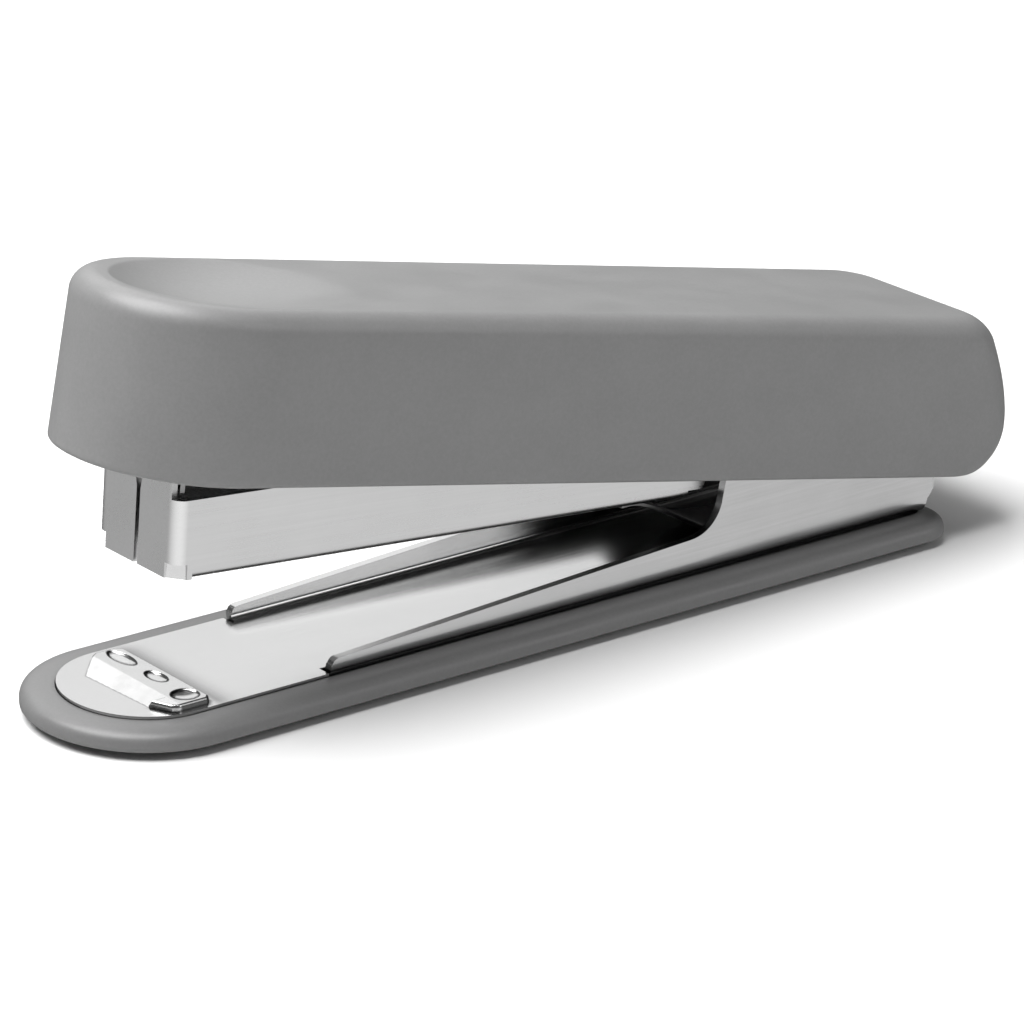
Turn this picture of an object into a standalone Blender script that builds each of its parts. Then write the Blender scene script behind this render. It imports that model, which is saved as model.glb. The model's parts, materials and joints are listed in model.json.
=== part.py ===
"""A half-strip desk stapler, at rest with its mouth open.

Frame: +X to the rear, +Y to the right of someone behind it facing the nose, +Z up. The origin is the
bottom centre of the bounding box, on the table. The base lies flat; the magazine and the cover both
turn about one pin through the base plate's ears, and each has its own empty on that pin.
"""
import math

import bmesh
import bpy
from mathutils import Matrix, Vector

MM = 0.001

# ---- Driving dimensions ------------------------------------------------------------------------
# The base's X starts at the centre of its rounded front and its Z at the plate's upper face. The
# magazine's and the cover's X and Z start at the pin.
GAP = 0.3 * MM                    # between neighbouring pieces
THROUGH = 15.0 * MM               # half length of a cutter that goes right through

TABLE_TO_PLATE = 3.4 * MM         # height of the base plate's upper face above the table
FRONT_ARC_X = -49.9 * MM          # centre of the base's rounded front, from the origin

PLATE_THICK = 1.0 * MM            # base plate, pressed steel sheet
PLATE_HALF_WIDTH = 10.0 * MM
PLATE_FRONT = 8.7 * MM            # how far the plate's rounded front reaches ahead of its centre
PLATE_END_X = 100.2 * MM
PLATE_OVERLAP_X = 24.0 * MM       # the flat front runs this far into the U behind it
FLANGE_START_X = 17.3 * MM        # where the plate's edges turn up
FLANGE_BEND = 1.8 * MM            # outer radius of that bend
FLANGE_SLIT = 0.8 * MM            # relief cut ahead of it
FLANGE_TIP_HEIGHT = 1.46 * MM
FLANGE_TIP_RADIUS = 0.9 * MM
FLANGE_SLOPE = math.radians(2.94)
FLANGE_END_X = 66.2 * MM          # where the flange sweeps up into the ear
EAR_ROOT_RADIUS = 4.6 * MM
EAR_SHOULDER = (75.0 * MM, 18.4 * MM)
EAR_SHOULDER_RADIUS = 2.0 * MM
EAR_RADIUS = 3.0 * MM             # round the pin
EAR_REAR_X = 101.5 * MM
EAR_REAR_TOP = 12.0 * MM
EAR_TOP = 24.0 * MM               # the U before its sides are cut to shape

RIM_HALF_WIDTH = 14.0 * MM        # plastic base shell
RIM_FRONT = 12.6 * MM
RIM_END_X = 102.3 * MM
RIM_CORNER = 4.0 * MM
RIM_TOP = -0.3 * MM               # the plate stands proud of the rim by this
RIM_BOTTOM = -2.5 * MM
RIM_ROUNDING = 0.9 * MM
RIM_REAR_WALL = 1.0 * MM
POCKET_CORNER = 1.0 * MM

FOOT_HALF_WIDTH = 8.5 * MM
FOOT_CORNER = 3.0 * MM
FOOT_RECESS = 0.5 * MM            # how far a foot sits in the shell
FOOT_EDGE = 0.25 * MM
FEET = (("foot_pad_front", -6.0 * MM, 22.0 * MM), ("foot_pad_rear", 72.0 * MM, 98.0 * MM))

ANVIL_TOP = 0.7 * MM
ANVIL_FRONT = -3.3 * MM
ANVIL_REAR = 3.6 * MM
ANVIL_HALF_WIDTH = 8.8 * MM
ANVIL_CUT_BACK = (2.3 * MM, 2.2 * MM)    # front corners, along X and along Y
ANVIL_CORNER = 1.2 * MM
ANVIL_SLOPE_END_X = -1.2 * MM
ANVIL_SLOPE_FOOT = 0.05 * MM
GROOVE = (0.9 * MM, 2.9 * MM, 0.6 * MM)  # half sizes of the hollow under each staple leg
GROOVE_PLACE = (1.9 * MM, 3.6 * MM)      # its X, and its Y to either side
GROOVE_RISE = 0.1 * MM

RIVET_X = 84.0 * MM               # magazine spring's rivet
RIVET_RADIUS = 1.0 * MM
RIVET_HEAD_RADIUS = 2.1 * MM
RIVET_HEAD = 0.8 * MM
LEAF_THICK = 0.5 * MM
LEAF_WIDTH = 8.0 * MM
LEAF_PATH = ((90.0 * MM, GAP), (79.0 * MM, GAP), (74.0 * MM, 1.0 * MM), (66.0 * MM, 5.6 * MM),
             (63.0 * MM, 6.9 * MM), (61.0 * MM, 6.9 * MM))

PIN_X = 97.9 * MM                 # pivot pin, from the front arc's centre
PIN_Z = 18.5 * MM                 # and above the plate
PIN_RADIUS = 1.5 * MM
PIN_HOLE_RADIUS = PIN_RADIUS + GAP
PIN_CHAMFER = 0.3 * MM
PIN_STICKS_OUT = 1.1 * MM
PIN_HEAD_RADIUS = 2.5 * MM
PIN_HEAD = 0.6 * MM
CLIP_RADIUS = 2.7 * MM
CLIP_THICK = 0.5 * MM

MAGAZINE_PITCH = math.radians(4.92)    # nose up at rest
COVER_PITCH = math.radians(11.64)
BLADE_PITCH = math.radians(3.5)        # cover over magazine when the blade is square to it

SHEET = 0.8 * MM                  # magazine and cover frame sheet
CHANNEL_HALF_WIDTH = 7.4 * MM
CHANNEL_BEND = 1.4 * MM           # outer radius at the nose
CHANNEL_FRONT = -97.7 * MM
CHANNEL_BOTTOM = -13.35 * MM
CHANNEL_TOP = -4.7 * MM
NOSE_TOP = -2.6 * MM
WALL_END_X = -26.8 * MM           # where the walls' lower edge turns up, ahead of the ears
HEEL_RADIUS = 2.5 * MM
HEEL_TOP = -9.5 * MM
ARM_UNDER_X = (-27.0 * MM, -9.0 * MM)    # where the walls' upper edge starts and ends its rise
ARM_TOP = -0.6 * MM
ARM_END_RADIUS = EAR_RADIUS - 0.2 * MM
ARM_REACH = 4.0 * MM
FLOOR_FRONT = CHANNEL_FRONT + 3.4 * MM
FLOOR_INSET = 0.4 * MM
SLIT_SIDES = (-0.35 * MM, 0.15 * MM)
NOSE_RELIEF = (5.6 * MM, 1.7 * MM)       # from this half width, up to this height over the bottom
NOSE_SHOULDER = 6.2 * MM                 # the nose stands above the walls inside this half width

RAIL_START = CHANNEL_FRONT + 2.8 * MM
RAIL_END = -30.0 * MM
RAIL_HALF_WIDTH = 5.4 * MM
RAIL_TOP = -6.5 * MM
STAPLE_WIRE = 0.5 * MM
STAPLE_LEG = 6.4 * MM
STAPLE_INSIDE = RAIL_HALF_WIDTH + 0.45 * MM

PUSHER_FRONT = -52.0 * MM
PUSHER_LENGTH = 10.0 * MM
PUSHER_SHEET = 0.6 * MM
PUSHER_TOP = 0.8 * MM
PUSHER_BOTTOM = -11.5 * MM
LUG_THICK = 1.2 * MM
LUG_X = PUSHER_FRONT + PUSHER_LENGTH - LUG_THICK / 2
LUG = ((2.4 * MM, -3.4 * MM), (1.4 * MM, -2.2 * MM))     # its shoulder and its top corner
ROD_Z = -4.0 * MM                 # pusher rod's axis, below the pin
ROD_RADIUS = 0.8 * MM
ROD_END = -9.0 * MM
ROD_PLAY = 0.2 * MM
ROD_HEAD_RADIUS = 1.1 * MM
ROD_HEAD = 0.8 * MM
PUSHER_COIL = (1.7 * MM, 0.25 * MM, 14)  # mean radius, wire radius, turns
BRACKET_X = -14.0 * MM
BRACKET_BOTTOM = -9.0 * MM
BRACKET_SHOULDER = -2.8 * MM
BRACKET_TOP = (2.6 * MM, -1.4 * MM)

COVER_COIL = (2.35 * MM, 0.4 * MM)       # mean radius, wire radius
COVER_COIL_SIDES = (2.4 * MM, 5.8 * MM)  # the Y of its lower and upper legs
COVER_COIL_TURN = (270, 104 + 4 * 360)   # degrees, where it leaves and meets its legs
LOWER_LEG_END = (-12.6 * MM, -2.35 * MM)
UPPER_LEG_END = (-12.0 * MM, -0.57 * MM)

COVER_HALF_WIDTH = 13.3 * MM
COVER_WALL = 2.0 * MM
COVER_FRONT = -105.6 * MM
COVER_BOTTOM = -13.07 * MM
COVER_TOP = 5.35 * MM
COVER_EDGE = 2.4 * MM             # radius of the cover's upper edge
NOSE_REACH = 13.5 * MM            # length of the rounded nose
NOSE_POWER = 2.1                  # 2 is an ellipse; more is squarer
REAR_CORNER = 5.5 * MM
REAR_FULLEST = -7.6 * MM          # height at which the rear face stands furthest out
REAR_WIDEST = 16.5 * MM
REAR_LEAST = 10.5 * MM
REAR_LEAN_POWER = 1.6
REAR_UNDER = 5.6 * MM             # radius by which it rounds under
REAR_NOTCH = ((9.5 * MM, -10.9 * MM, -16.0 * MM), (22.0 * MM, 10.9 * MM, -5.5 * MM))
DISH_X = -88.0 * MM               # middle of the thumb dish
DISH = (16.0 * MM, 11.5 * MM, 2.9 * MM)  # half sizes of the egg that hollows it
DISH_RISE = 1.7 * MM
DISH_TILT = math.radians(-3.0)

SCREW_X = (-74.0 * MM, -28.0 * MM)
SCREW_RADIUS = 0.9 * MM
SCREW_HEAD_RADIUS = 2.0 * MM
SCREW_HEAD = 1.0 * MM
SCREW_HOLE_TOP = COVER_TOP - 1.2 * MM
BOSS_RADIUS = 2.3 * MM

FRAME_HALF_WIDTH = 8.5 * MM
FRAME_TOP = 1.5 * MM
FRAME_FRONT = -98.0 * MM
FRAME_REAR = 5.0 * MM
FRAME_DEPTH = -8.0 * MM
FRAME_SIDE_BOTTOM = -1.6 * MM
FRAME_ARM_X = (-22.0 * MM, -12.0 * MM)   # where the sides deepen towards the pin
FRAME_OPENING_X = (-9.0 * MM, 8.0 * MM)
FRAME_OPENING_Z = 6.0 * MM

BLADE_HALF_WIDTH = 6.2 * MM
BLADE_THICK = 0.6 * MM
BLADE_TIP = (-95.5 * MM, -15.4 * MM)     # front lower corner of the blade
BLADE_FOLD_END = -88.0 * MM
BLADE_RIVET_X = -91.0 * MM
BLADE_RIVETS_Y = (-3.2 * MM, 3.2 * MM)
BLADE_RIVET_RADIUS = 0.8 * MM
BLADE_RIVET_HEAD = (1.4 * MM, 0.7 * MM)  # radius and height of its upper head
BLADE_RIVET_TAIL = (1.5 * MM, 0.6 * MM)

# ---- Scene, frames and materials ---------------------------------------------------------------
for leftover in list(bpy.data.objects):
    bpy.data.objects.remove(leftover)

parts = bpy.data.collections.new("stapler")
tools = bpy.data.collections.new("cutters")
bpy.context.scene.collection.children.link(parts)
bpy.context.scene.collection.children.link(tools)


def new_empty(name, parent, location, pitch):
    """An empty that carries a group; a positive pitch lifts the group's nose."""
    empty = bpy.data.objects.new(name, None)
    parts.objects.link(empty)
    empty.parent = parent
    empty.location = location
    empty.rotation_euler = (0.0, pitch, 0.0)
    return empty


base_frame = new_empty("base_frame", None, (FRONT_ARC_X, 0.0, TABLE_TO_PLATE), 0.0)
magazine_axis = new_empty("magazine_axis", base_frame, (PIN_X, 0.0, PIN_Z), MAGAZINE_PITCH)
cover_axis = new_empty("cover_axis", magazine_axis, (0.0, 0.0, 0.0), COVER_PITCH - MAGAZINE_PITCH)
bpy.context.view_layer.update()


def new_material(name, colour, roughness, metallic):
    material = bpy.data.materials.new(name)
    material.use_nodes = True
    shader = material.node_tree.nodes["Principled BSDF"]
    shader.inputs["Base Color"].default_value = (*colour, 1.0)
    shader.inputs["Roughness"].default_value = roughness
    shader.inputs["Metallic"].default_value = metallic
    return material


GREY_PLASTIC = dict(colour=(0.20, 0.20, 0.20), roughness=0.5, metallic=0.0)
NICKEL_STEEL = dict(colour=(0.62, 0.61, 0.60), roughness=0.3, metallic=1.0)
SPRING_STEEL = dict(colour=(0.35, 0.35, 0.36), roughness=0.4, metallic=1.0)
ZINC_WIRE = dict(colour=(0.70, 0.70, 0.70), roughness=0.35, metallic=1.0)
BLACK_RUBBER = dict(colour=(0.02, 0.02, 0.02), roughness=0.8, metallic=0.0)


# ---- Building helpers --------------------------------------------------------------------------
def add_node(obj, name, frame, finish):
    """Name an object, hang it on its group's empty and give it a material of its own."""
    obj.name = name
    obj.data.name = name
    obj.data.materials.clear()
    obj.data.materials.append(new_material(name, **finish))
    obj.parent = frame
    return obj


def add_cutter(obj, name, frame):
    """Keep an operand out of the model: wire display, hidden in renders, its own collection."""
    obj.name = name
    obj.display_type = "WIRE"
    obj.hide_render = True
    parts.objects.unlink(obj)
    tools.objects.link(obj)
    obj.parent = frame
    return obj


def combine(target, operand, operation):
    step = target.modifiers.new(operation.lower(), "BOOLEAN")
    step.object = operand
    step.operation = operation
    step.solver = "EXACT"


def arc(centre, radius, start, end, steps):
    """Points on a circle from the start angle to the end angle, in degrees, ends included."""
    angles = [math.radians(start + (end - start) * i / steps) for i in range(steps + 1)]
    return [(centre[0] + radius * math.cos(a), centre[1] + radius * math.sin(a)) for a in angles]


# How an outline's (u, v) and its thickness t lie in the group's frame.
PLANES = {
    "plan": Matrix(((1, 0, 0), (0, 1, 0), (0, 0, 1))),        # u = x, v = y, t = z
    "side": Matrix(((1, 0, 0), (0, 0, -1), (0, 1, 0))),       # u = x, v = z, t = -y
    "end": Matrix(((0, 0, 1), (1, 0, 0), (0, 1, 0))),         # u = y, v = z, t = x
}


def outline_solid(points, plane, middle, thick, holes=()):
    """A flat outline, with any holes, given a thickness about the middle of its third axis."""
    curve = bpy.data.curves.new("outline", "CURVE")
    curve.dimensions = "2D"
    curve.fill_mode = "BOTH"
    curve.extrude = thick / 2
    for loop in (points, *holes):
        spline = curve.splines.new("POLY")
        spline.points.add(len(loop) - 1)
        for point, (u, v) in zip(spline.points, loop):
            point.co = (u, v, 0.0, 1.0)
        spline.use_cyclic_u = True
    flat = bpy.data.objects.new("outline", curve)
    parts.objects.link(flat)
    bpy.context.view_layer.update()
    ready = flat.evaluated_get(bpy.context.evaluated_depsgraph_get())
    mesh = bpy.data.meshes.new_from_object(ready)
    shape = bmesh.new()
    shape.from_mesh(mesh)
    bmesh.ops.remove_doubles(shape, verts=shape.verts, dist=0.001 * MM)
    turn = PLANES[plane].to_4x4()
    offset = {"plan": (0, 0, middle), "side": (0, middle, 0), "end": (middle, 0, 0)}[plane]
    bmesh.ops.transform(shape, matrix=Matrix.Translation(Vector(offset)) @ turn, verts=shape.verts)
    bmesh.ops.recalc_face_normals(shape, faces=shape.faces)
    shape.to_mesh(mesh)
    shape.free()
    solid = bpy.data.objects.new("solid", mesh)
    solid.matrix_world = flat.matrix_world
    bpy.data.objects.remove(flat)
    parts.objects.link(solid)
    return solid


def box(low, high):
    """A cuboid between two corners, in the group's frame."""
    shape = bmesh.new()
    bmesh.ops.create_cube(shape, size=1.0)
    size = [b - a for a, b in zip(low, high)]
    centre = [(a + b) / 2 for a, b in zip(low, high)]
    bmesh.ops.scale(shape, vec=size, verts=shape.verts)
    bmesh.ops.translate(shape, vec=centre, verts=shape.verts)
    return mesh_object(shape)


def rod(radius, start, end, axis, centre=(0.0, 0.0), segments=24):
    """A cylinder along X, Y or Z between two values; centre is its place on the other two axes."""
    shape = bmesh.new()
    bmesh.ops.create_cone(shape, cap_ends=True, segments=segments, radius1=radius, radius2=radius,
                          depth=end - start)
    bmesh.ops.translate(shape, vec=(0, 0, (start + end) / 2), verts=shape.verts)
    turn = {"X": Matrix.Rotation(math.pi / 2, 4, "Y"), "Y": Matrix.Rotation(-math.pi / 2, 4, "X"),
            "Z": Matrix.Identity(4)}[axis]
    place = {"X": (0.0, *centre), "Y": (centre[0], 0.0, centre[1]), "Z": (*centre, 0.0)}[axis]
    bmesh.ops.transform(shape, matrix=Matrix.Translation(Vector(place)) @ turn, verts=shape.verts)
    return mesh_object(shape)


def egg(half_sizes, centre, around, tilt=0.0):
    """An ellipsoid with half sizes along X, Y and Z, tilted about Y."""
    shape = bmesh.new()
    bmesh.ops.create_uvsphere(shape, u_segments=around, v_segments=around // 2, radius=1.0)
    bmesh.ops.scale(shape, vec=half_sizes, verts=shape.verts)
    bmesh.ops.rotate(shape, matrix=Matrix.Rotation(tilt, 3, "Y"), verts=shape.verts)
    bmesh.ops.translate(shape, vec=centre, verts=shape.verts)
    return mesh_object(shape)


def mesh_object(shape):
    mesh = bpy.data.meshes.new("solid")
    shape.to_mesh(mesh)
    shape.free()
    obj = bpy.data.objects.new("solid", mesh)
    parts.objects.link(obj)
    return obj


def wire(points, radius):
    """A round wire along a line of points, as a closed mesh."""
    curve = bpy.data.curves.new("wire", "CURVE")
    curve.dimensions = "3D"
    curve.bevel_depth = radius
    curve.bevel_resolution = 2
    curve.use_fill_caps = True
    spline = curve.splines.new("POLY")
    spline.points.add(len(points) - 1)
    for point, place in zip(spline.points, points):
        point.co = (*place, 1.0)
    line = bpy.data.objects.new("wire", curve)
    parts.objects.link(line)
    bpy.context.view_layer.update()
    ready = line.evaluated_get(bpy.context.evaluated_depsgraph_get())
    mesh = bpy.data.meshes.new_from_object(ready)
    shape = bmesh.new()
    shape.from_mesh(mesh)
    bmesh.ops.remove_doubles(shape, verts=shape.verts, dist=0.001 * MM)
    bmesh.ops.recalc_face_normals(shape, faces=shape.faces)
    bpy.data.meshes.remove(mesh)
    obj = mesh_object(shape)
    obj.matrix_world = line.matrix_world
    bpy.data.objects.remove(line)
    return obj


BEVEL_ANGLE = math.radians(50)
SMOOTH_ANGLE = math.radians(35)


def smooth(obj):
    obj.data.shade_smooth()
    obj.data.set_sharp_from_angle(angle=SMOOTH_ANGLE)


# ---- Base: plastic shell, steel plate, anvil, feet ---------------------------------------------
def rounded_front(reach, half_width, end_x, corner, steps=14):
    """A plan outline: half an ellipse at the front, straight sides, rounded rear corners."""
    front = [(reach * u, half_width * v) for u, v in arc((0, 0), 1.0, 90, 270, 2 * steps)]
    centre = (end_x - corner, half_width - corner)
    near = arc((centre[0], -centre[1]), corner, -90, 0, 5)
    far = arc(centre, corner, 0, 90, 5)
    return front + near + far


def base_shell():
    """The moulded tray: a rounded outer wall, a pocket for the plate and two for the feet."""
    outer = rounded_front(RIM_FRONT, RIM_HALF_WIDTH, RIM_END_X, RIM_CORNER)
    shell = outline_solid(outer, "plan", (RIM_TOP + RIM_BOTTOM) / 2, RIM_TOP - RIM_BOTTOM)
    add_node(shell, "base_shell", base_frame, GREY_PLASTIC)
    edge = shell.modifiers.new("rounded wall", "BEVEL")
    edge.width = RIM_ROUNDING
    edge.segments = 3
    edge.angle_limit = BEVEL_ANGLE
    pocket = rounded_front(PLATE_FRONT + GAP, PLATE_HALF_WIDTH + GAP, RIM_END_X - RIM_REAR_WALL,
                           POCKET_CORNER)
    floor = -PLATE_THICK - GAP
    cutter = add_cutter(outline_solid(pocket, "plan", floor + THROUGH, 2 * THROUGH),
                        "plate_pocket", base_frame)
    combine(shell, cutter, "DIFFERENCE")
    for name, start, end in FEET:
        hollow = foot_outline(start - GAP, end + GAP, FOOT_HALF_WIDTH + GAP)
        cutter = add_cutter(outline_solid(hollow, "plan", RIM_BOTTOM, 2 * FOOT_RECESS),
                            name + "_pocket", base_frame)
        combine(shell, cutter, "DIFFERENCE")
    smooth(shell)


def foot_outline(start, end, half_width):
    """A rectangle with rounded corners."""
    corner = FOOT_CORNER
    points = []
    for x, y, angle in ((end, half_width, 0), (start, half_width, 90),
                        (start, -half_width, 180), (end, -half_width, 270)):
        centre = (x - math.copysign(corner, x - (start + end) / 2), y - math.copysign(corner, y))
        points += arc(centre, corner, angle, angle + 90, 4)
    return points


def foot_pads():
    """Two rubber pads that sit in the shell's underside and carry the stapler."""
    top = RIM_BOTTOM + FOOT_RECESS - GAP
    bottom = -TABLE_TO_PLATE
    for name, start, end in FEET:
        pad = outline_solid(foot_outline(start, end, FOOT_HALF_WIDTH), "plan",
                            (top + bottom) / 2, top - bottom)
        add_node(pad, name, base_frame, BLACK_RUBBER)
        edge = pad.modifiers.new("soft edge", "BEVEL")
        edge.width = FOOT_EDGE
        edge.angle_limit = BEVEL_ANGLE


def ear_side_outline():
    """The flange and ear seen from the side, from below the bend up round the pin."""
    radius = FLANGE_TIP_RADIUS
    tip = arc((FLANGE_START_X + radius, FLANGE_TIP_HEIGHT - radius), radius, 180, 95, 5)
    rise = (FLANGE_END_X - FLANGE_START_X - radius) * math.tan(FLANGE_SLOPE)
    run_end = (FLANGE_END_X, FLANGE_TIP_HEIGHT + rise)
    root_end = math.radians(-87)
    root_centre = (run_end[0] - EAR_ROOT_RADIUS * math.cos(root_end),
                   run_end[1] - EAR_ROOT_RADIUS * math.sin(root_end))
    root = arc(root_centre, EAR_ROOT_RADIUS, -87, -14, 8)
    shoulder = arc(EAR_SHOULDER, EAR_SHOULDER_RADIUS, 168, 93, 5)
    over_pin = arc((PIN_X, PIN_Z), EAR_RADIUS, 93, 0, 8)
    below = -2 * PLATE_THICK
    heel = [(EAR_REAR_X, EAR_REAR_TOP), (EAR_REAR_X, 2 * PLATE_THICK),
            (EAR_REAR_X - 0.4 * PLATE_THICK, PLATE_THICK), (PLATE_END_X, 0.2 * PLATE_THICK),
            (PLATE_END_X, below), (FLANGE_START_X, below)]
    return tip + [run_end] + root + shoulder + over_pin + heel


def u_section():
    """The U across the plate, seen from the end: floor, two bends and two uprights."""
    outer, inner = FLANGE_BEND, FLANGE_BEND - PLATE_THICK
    far = (PLATE_HALF_WIDTH - outer, outer - PLATE_THICK)
    near = (-far[0], far[1])
    outside = arc(near, outer, 180, 270, 5) + arc(far, outer, 270, 360, 5)
    inside = arc(far, inner, 360, 270, 4) + arc(near, inner, 270, 180, 4)
    return ([(-PLATE_HALF_WIDTH, EAR_TOP)] + outside + [(PLATE_HALF_WIDTH, EAR_TOP)]
            + [(PLATE_HALF_WIDTH - PLATE_THICK, EAR_TOP)] + inside
            + [(-PLATE_HALF_WIDTH + PLATE_THICK, EAR_TOP)])


def base_plate():
    """One pressing: a flat rounded front, and behind it a U whose sides rise into two ears."""
    end = EAR_REAR_X + 1.5 * PLATE_THICK
    plate = outline_solid(u_section(), "end", (FLANGE_START_X + end) / 2, end - FLANGE_START_X)
    add_node(plate, "base_plate", base_frame, NICKEL_STEEL)
    side = add_cutter(outline_solid(ear_side_outline(), "side", 0.0, 4 * PLATE_HALF_WIDTH),
                      "ear_side", base_frame)
    combine(plate, side, "INTERSECT")
    nose = [p for p in rounded_front(PLATE_FRONT, PLATE_HALF_WIDTH, PLATE_OVERLAP_X, PLATE_THICK)
            if p[0] < PLATE_THICK]
    neck = PLATE_HALF_WIDTH - FLANGE_BEND
    slit = FLANGE_START_X - FLANGE_SLIT
    nose += [(slit, -PLATE_HALF_WIDTH), (slit, -neck), (PLATE_OVERLAP_X, -neck),
             (PLATE_OVERLAP_X, neck), (slit, neck), (slit, PLATE_HALF_WIDTH)]
    front = add_cutter(outline_solid(nose, "plan", -PLATE_THICK / 2, PLATE_THICK),
                       "plate_front", base_frame)
    combine(plate, front, "UNION")
    hole = add_cutter(outline_solid(anvil_outline(GAP), "plan", 0.0, 4 * PLATE_THICK),
                      "anvil_window", base_frame)
    combine(plate, hole, "DIFFERENCE")
    pin = add_cutter(rod(PIN_HOLE_RADIUS, -THROUGH, THROUGH, "Y", (PIN_X, PIN_Z)),
                     "pin_hole", base_frame)
    combine(plate, pin, "DIFFERENCE")
    rivet = add_cutter(rod(RIVET_RADIUS + GAP, -THROUGH, THROUGH, "Z", (RIVET_X, 0.0)),
                       "rivet_hole", base_frame)
    combine(plate, rivet, "DIFFERENCE")
    smooth(plate)


def anvil_outline(margin):
    """A bar across the plate with its two front corners cut back."""
    front, rear, half = ANVIL_FRONT - margin, ANVIL_REAR + margin, ANVIL_HALF_WIDTH + margin
    back, across = ANVIL_CUT_BACK
    corner = arc((rear - ANVIL_CORNER, half - ANVIL_CORNER), ANVIL_CORNER, 0, 90, 4)
    mirrored = [(x, -y) for x, y in reversed(corner)]
    return corner + [(ANVIL_FRONT + back, half), (front, half - across),
                     (front, -half + across), (ANVIL_FRONT + back, -half)] + mirrored


def anvil():
    """The hardened clinch plate: a sloping front face, and a groove under each staple leg."""
    bottom = -PLATE_THICK
    bar = outline_solid(anvil_outline(0.0), "plan", (ANVIL_TOP + bottom) / 2, ANVIL_TOP - bottom)
    add_node(bar, "anvil", base_frame, NICKEL_STEEL)
    ahead = ANVIL_FRONT - 2 * PLATE_THICK
    slope = [(ahead, ANVIL_SLOPE_FOOT), (ANVIL_FRONT, ANVIL_SLOPE_FOOT), (ANVIL_SLOPE_END_X, ANVIL_TOP),
             (ANVIL_SLOPE_END_X, THROUGH), (ahead, THROUGH)]
    wedge = add_cutter(outline_solid(slope, "side", 0.0, 2 * THROUGH), "anvil_slope", base_frame)
    combine(bar, wedge, "DIFFERENCE")
    for side in (-1, 1):
        place = (GROOVE_PLACE[0], side * GROOVE_PLACE[1], ANVIL_TOP + GROOVE_RISE)
        groove = add_cutter(egg(GROOVE, place, 16), f"clinch_groove_{side}", base_frame)
        combine(bar, groove, "DIFFERENCE")


def magazine_spring():
    """A leaf riveted under the ears; it rises forward and holds the magazine up."""
    upper = [(x, z + LEAF_THICK) for x, z in LEAF_PATH]
    leaf = outline_solid(list(LEAF_PATH) + upper[::-1], "side", 0.0, LEAF_WIDTH)
    add_node(leaf, "magazine_spring", base_frame, SPRING_STEEL)
    hole = add_cutter(rod(RIVET_RADIUS + GAP, -THROUGH, THROUGH, "Z", (RIVET_X, 0.0)),
                      "leaf_hole", base_frame)
    combine(leaf, hole, "DIFFERENCE")


def turned(name, profile, frame, finish, axis="Z", centre=(0.0, 0.0, 0.0)):
    """A turned piece: (radius, height) points from top to bottom, swept about its own axis."""
    mesh = bpy.data.meshes.new(name)
    mesh.from_pydata([(r, 0.0, h) for r, h in profile],
                     [(i, i + 1) for i in range(len(profile) - 1)], [])
    obj = bpy.data.objects.new(name, mesh)
    parts.objects.link(obj)
    add_node(obj, name, frame, finish)
    screw = obj.modifiers.new("turn", "SCREW")
    screw.steps = 24
    screw.render_steps = 24
    screw.use_merge_vertices = True
    screw.merge_threshold = 0.001 * MM
    obj.location = centre
    if axis == "Y":
        obj.rotation_euler = (-math.pi / 2, 0.0, 0.0)
    return obj


def pins_and_rivets():
    """The pin that the magazine and cover turn on, its clip, and the leaf spring's rivet."""
    reach, end = PLATE_HALF_WIDTH, PLATE_HALF_WIDTH + PIN_STICKS_OUT
    under = -reach - GAP
    stem = [(0.0, end), (PIN_RADIUS - PIN_CHAMFER, end), (PIN_RADIUS, end - PIN_CHAMFER),
            (PIN_RADIUS, under), (PIN_HEAD_RADIUS, under),
            (PIN_HEAD_RADIUS, under - PIN_HEAD + PIN_CHAMFER / 2),
            (PIN_HEAD_RADIUS - PIN_CHAMFER, under - PIN_HEAD), (0.0, under - PIN_HEAD)]
    turned("pivot_pin", stem, base_frame, NICKEL_STEEL, "Y", (PIN_X, 0.0, PIN_Z))
    clip = outline_solid(arc((PIN_X, PIN_Z), CLIP_RADIUS, 0, 345, 23), "side",
                         reach + GAP + CLIP_THICK / 2, CLIP_THICK,
                         holes=[arc((PIN_X, PIN_Z), PIN_HOLE_RADIUS, 0, 345, 23)])
    add_node(clip, "pivot_clip", base_frame, SPRING_STEEL)
    top = GAP + LEAF_THICK + GAP
    crown = 0.6 * RIVET_HEAD_RADIUS
    rivet = [(0.0, top + RIVET_HEAD), (crown, top + 0.75 * RIVET_HEAD),
             (RIVET_HEAD_RADIUS, top + 0.25 * RIVET_HEAD), (RIVET_HEAD_RADIUS, top),
             (RIVET_RADIUS, top), (RIVET_RADIUS, -PLATE_THICK), (0.0, -PLATE_THICK)]
    turned("magazine_spring_rivet", rivet, base_frame, NICKEL_STEEL, "Z", (RIVET_X, 0.0, 0.0))


# ---- Magazine: channel, rail, staples, spring parts --------------------------------------------
def magazine_side_outline():
    """The channel's walls seen from the side: nose, long wall, and arms that reach the pin."""
    front, bottom, top = CHANNEL_FRONT, CHANNEL_BOTTOM, CHANNEL_TOP
    heel = arc((WALL_END_X - HEEL_RADIUS, bottom + HEEL_RADIUS), HEEL_RADIUS, -90, 0, 5)
    round_pin = arc((0.0, 0.0), ARM_END_RADIUS, -65, 110, 12)
    upper = [(ARM_UNDER_X[1], ARM_TOP), (ARM_UNDER_X[0], top), (front + SHEET, top),
             (front + SHEET, NOSE_TOP), (front - SHEET, NOSE_TOP)]
    return [(front - SHEET, bottom)] + heel + [(WALL_END_X, HEEL_TOP)] + round_pin + upper


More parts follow.
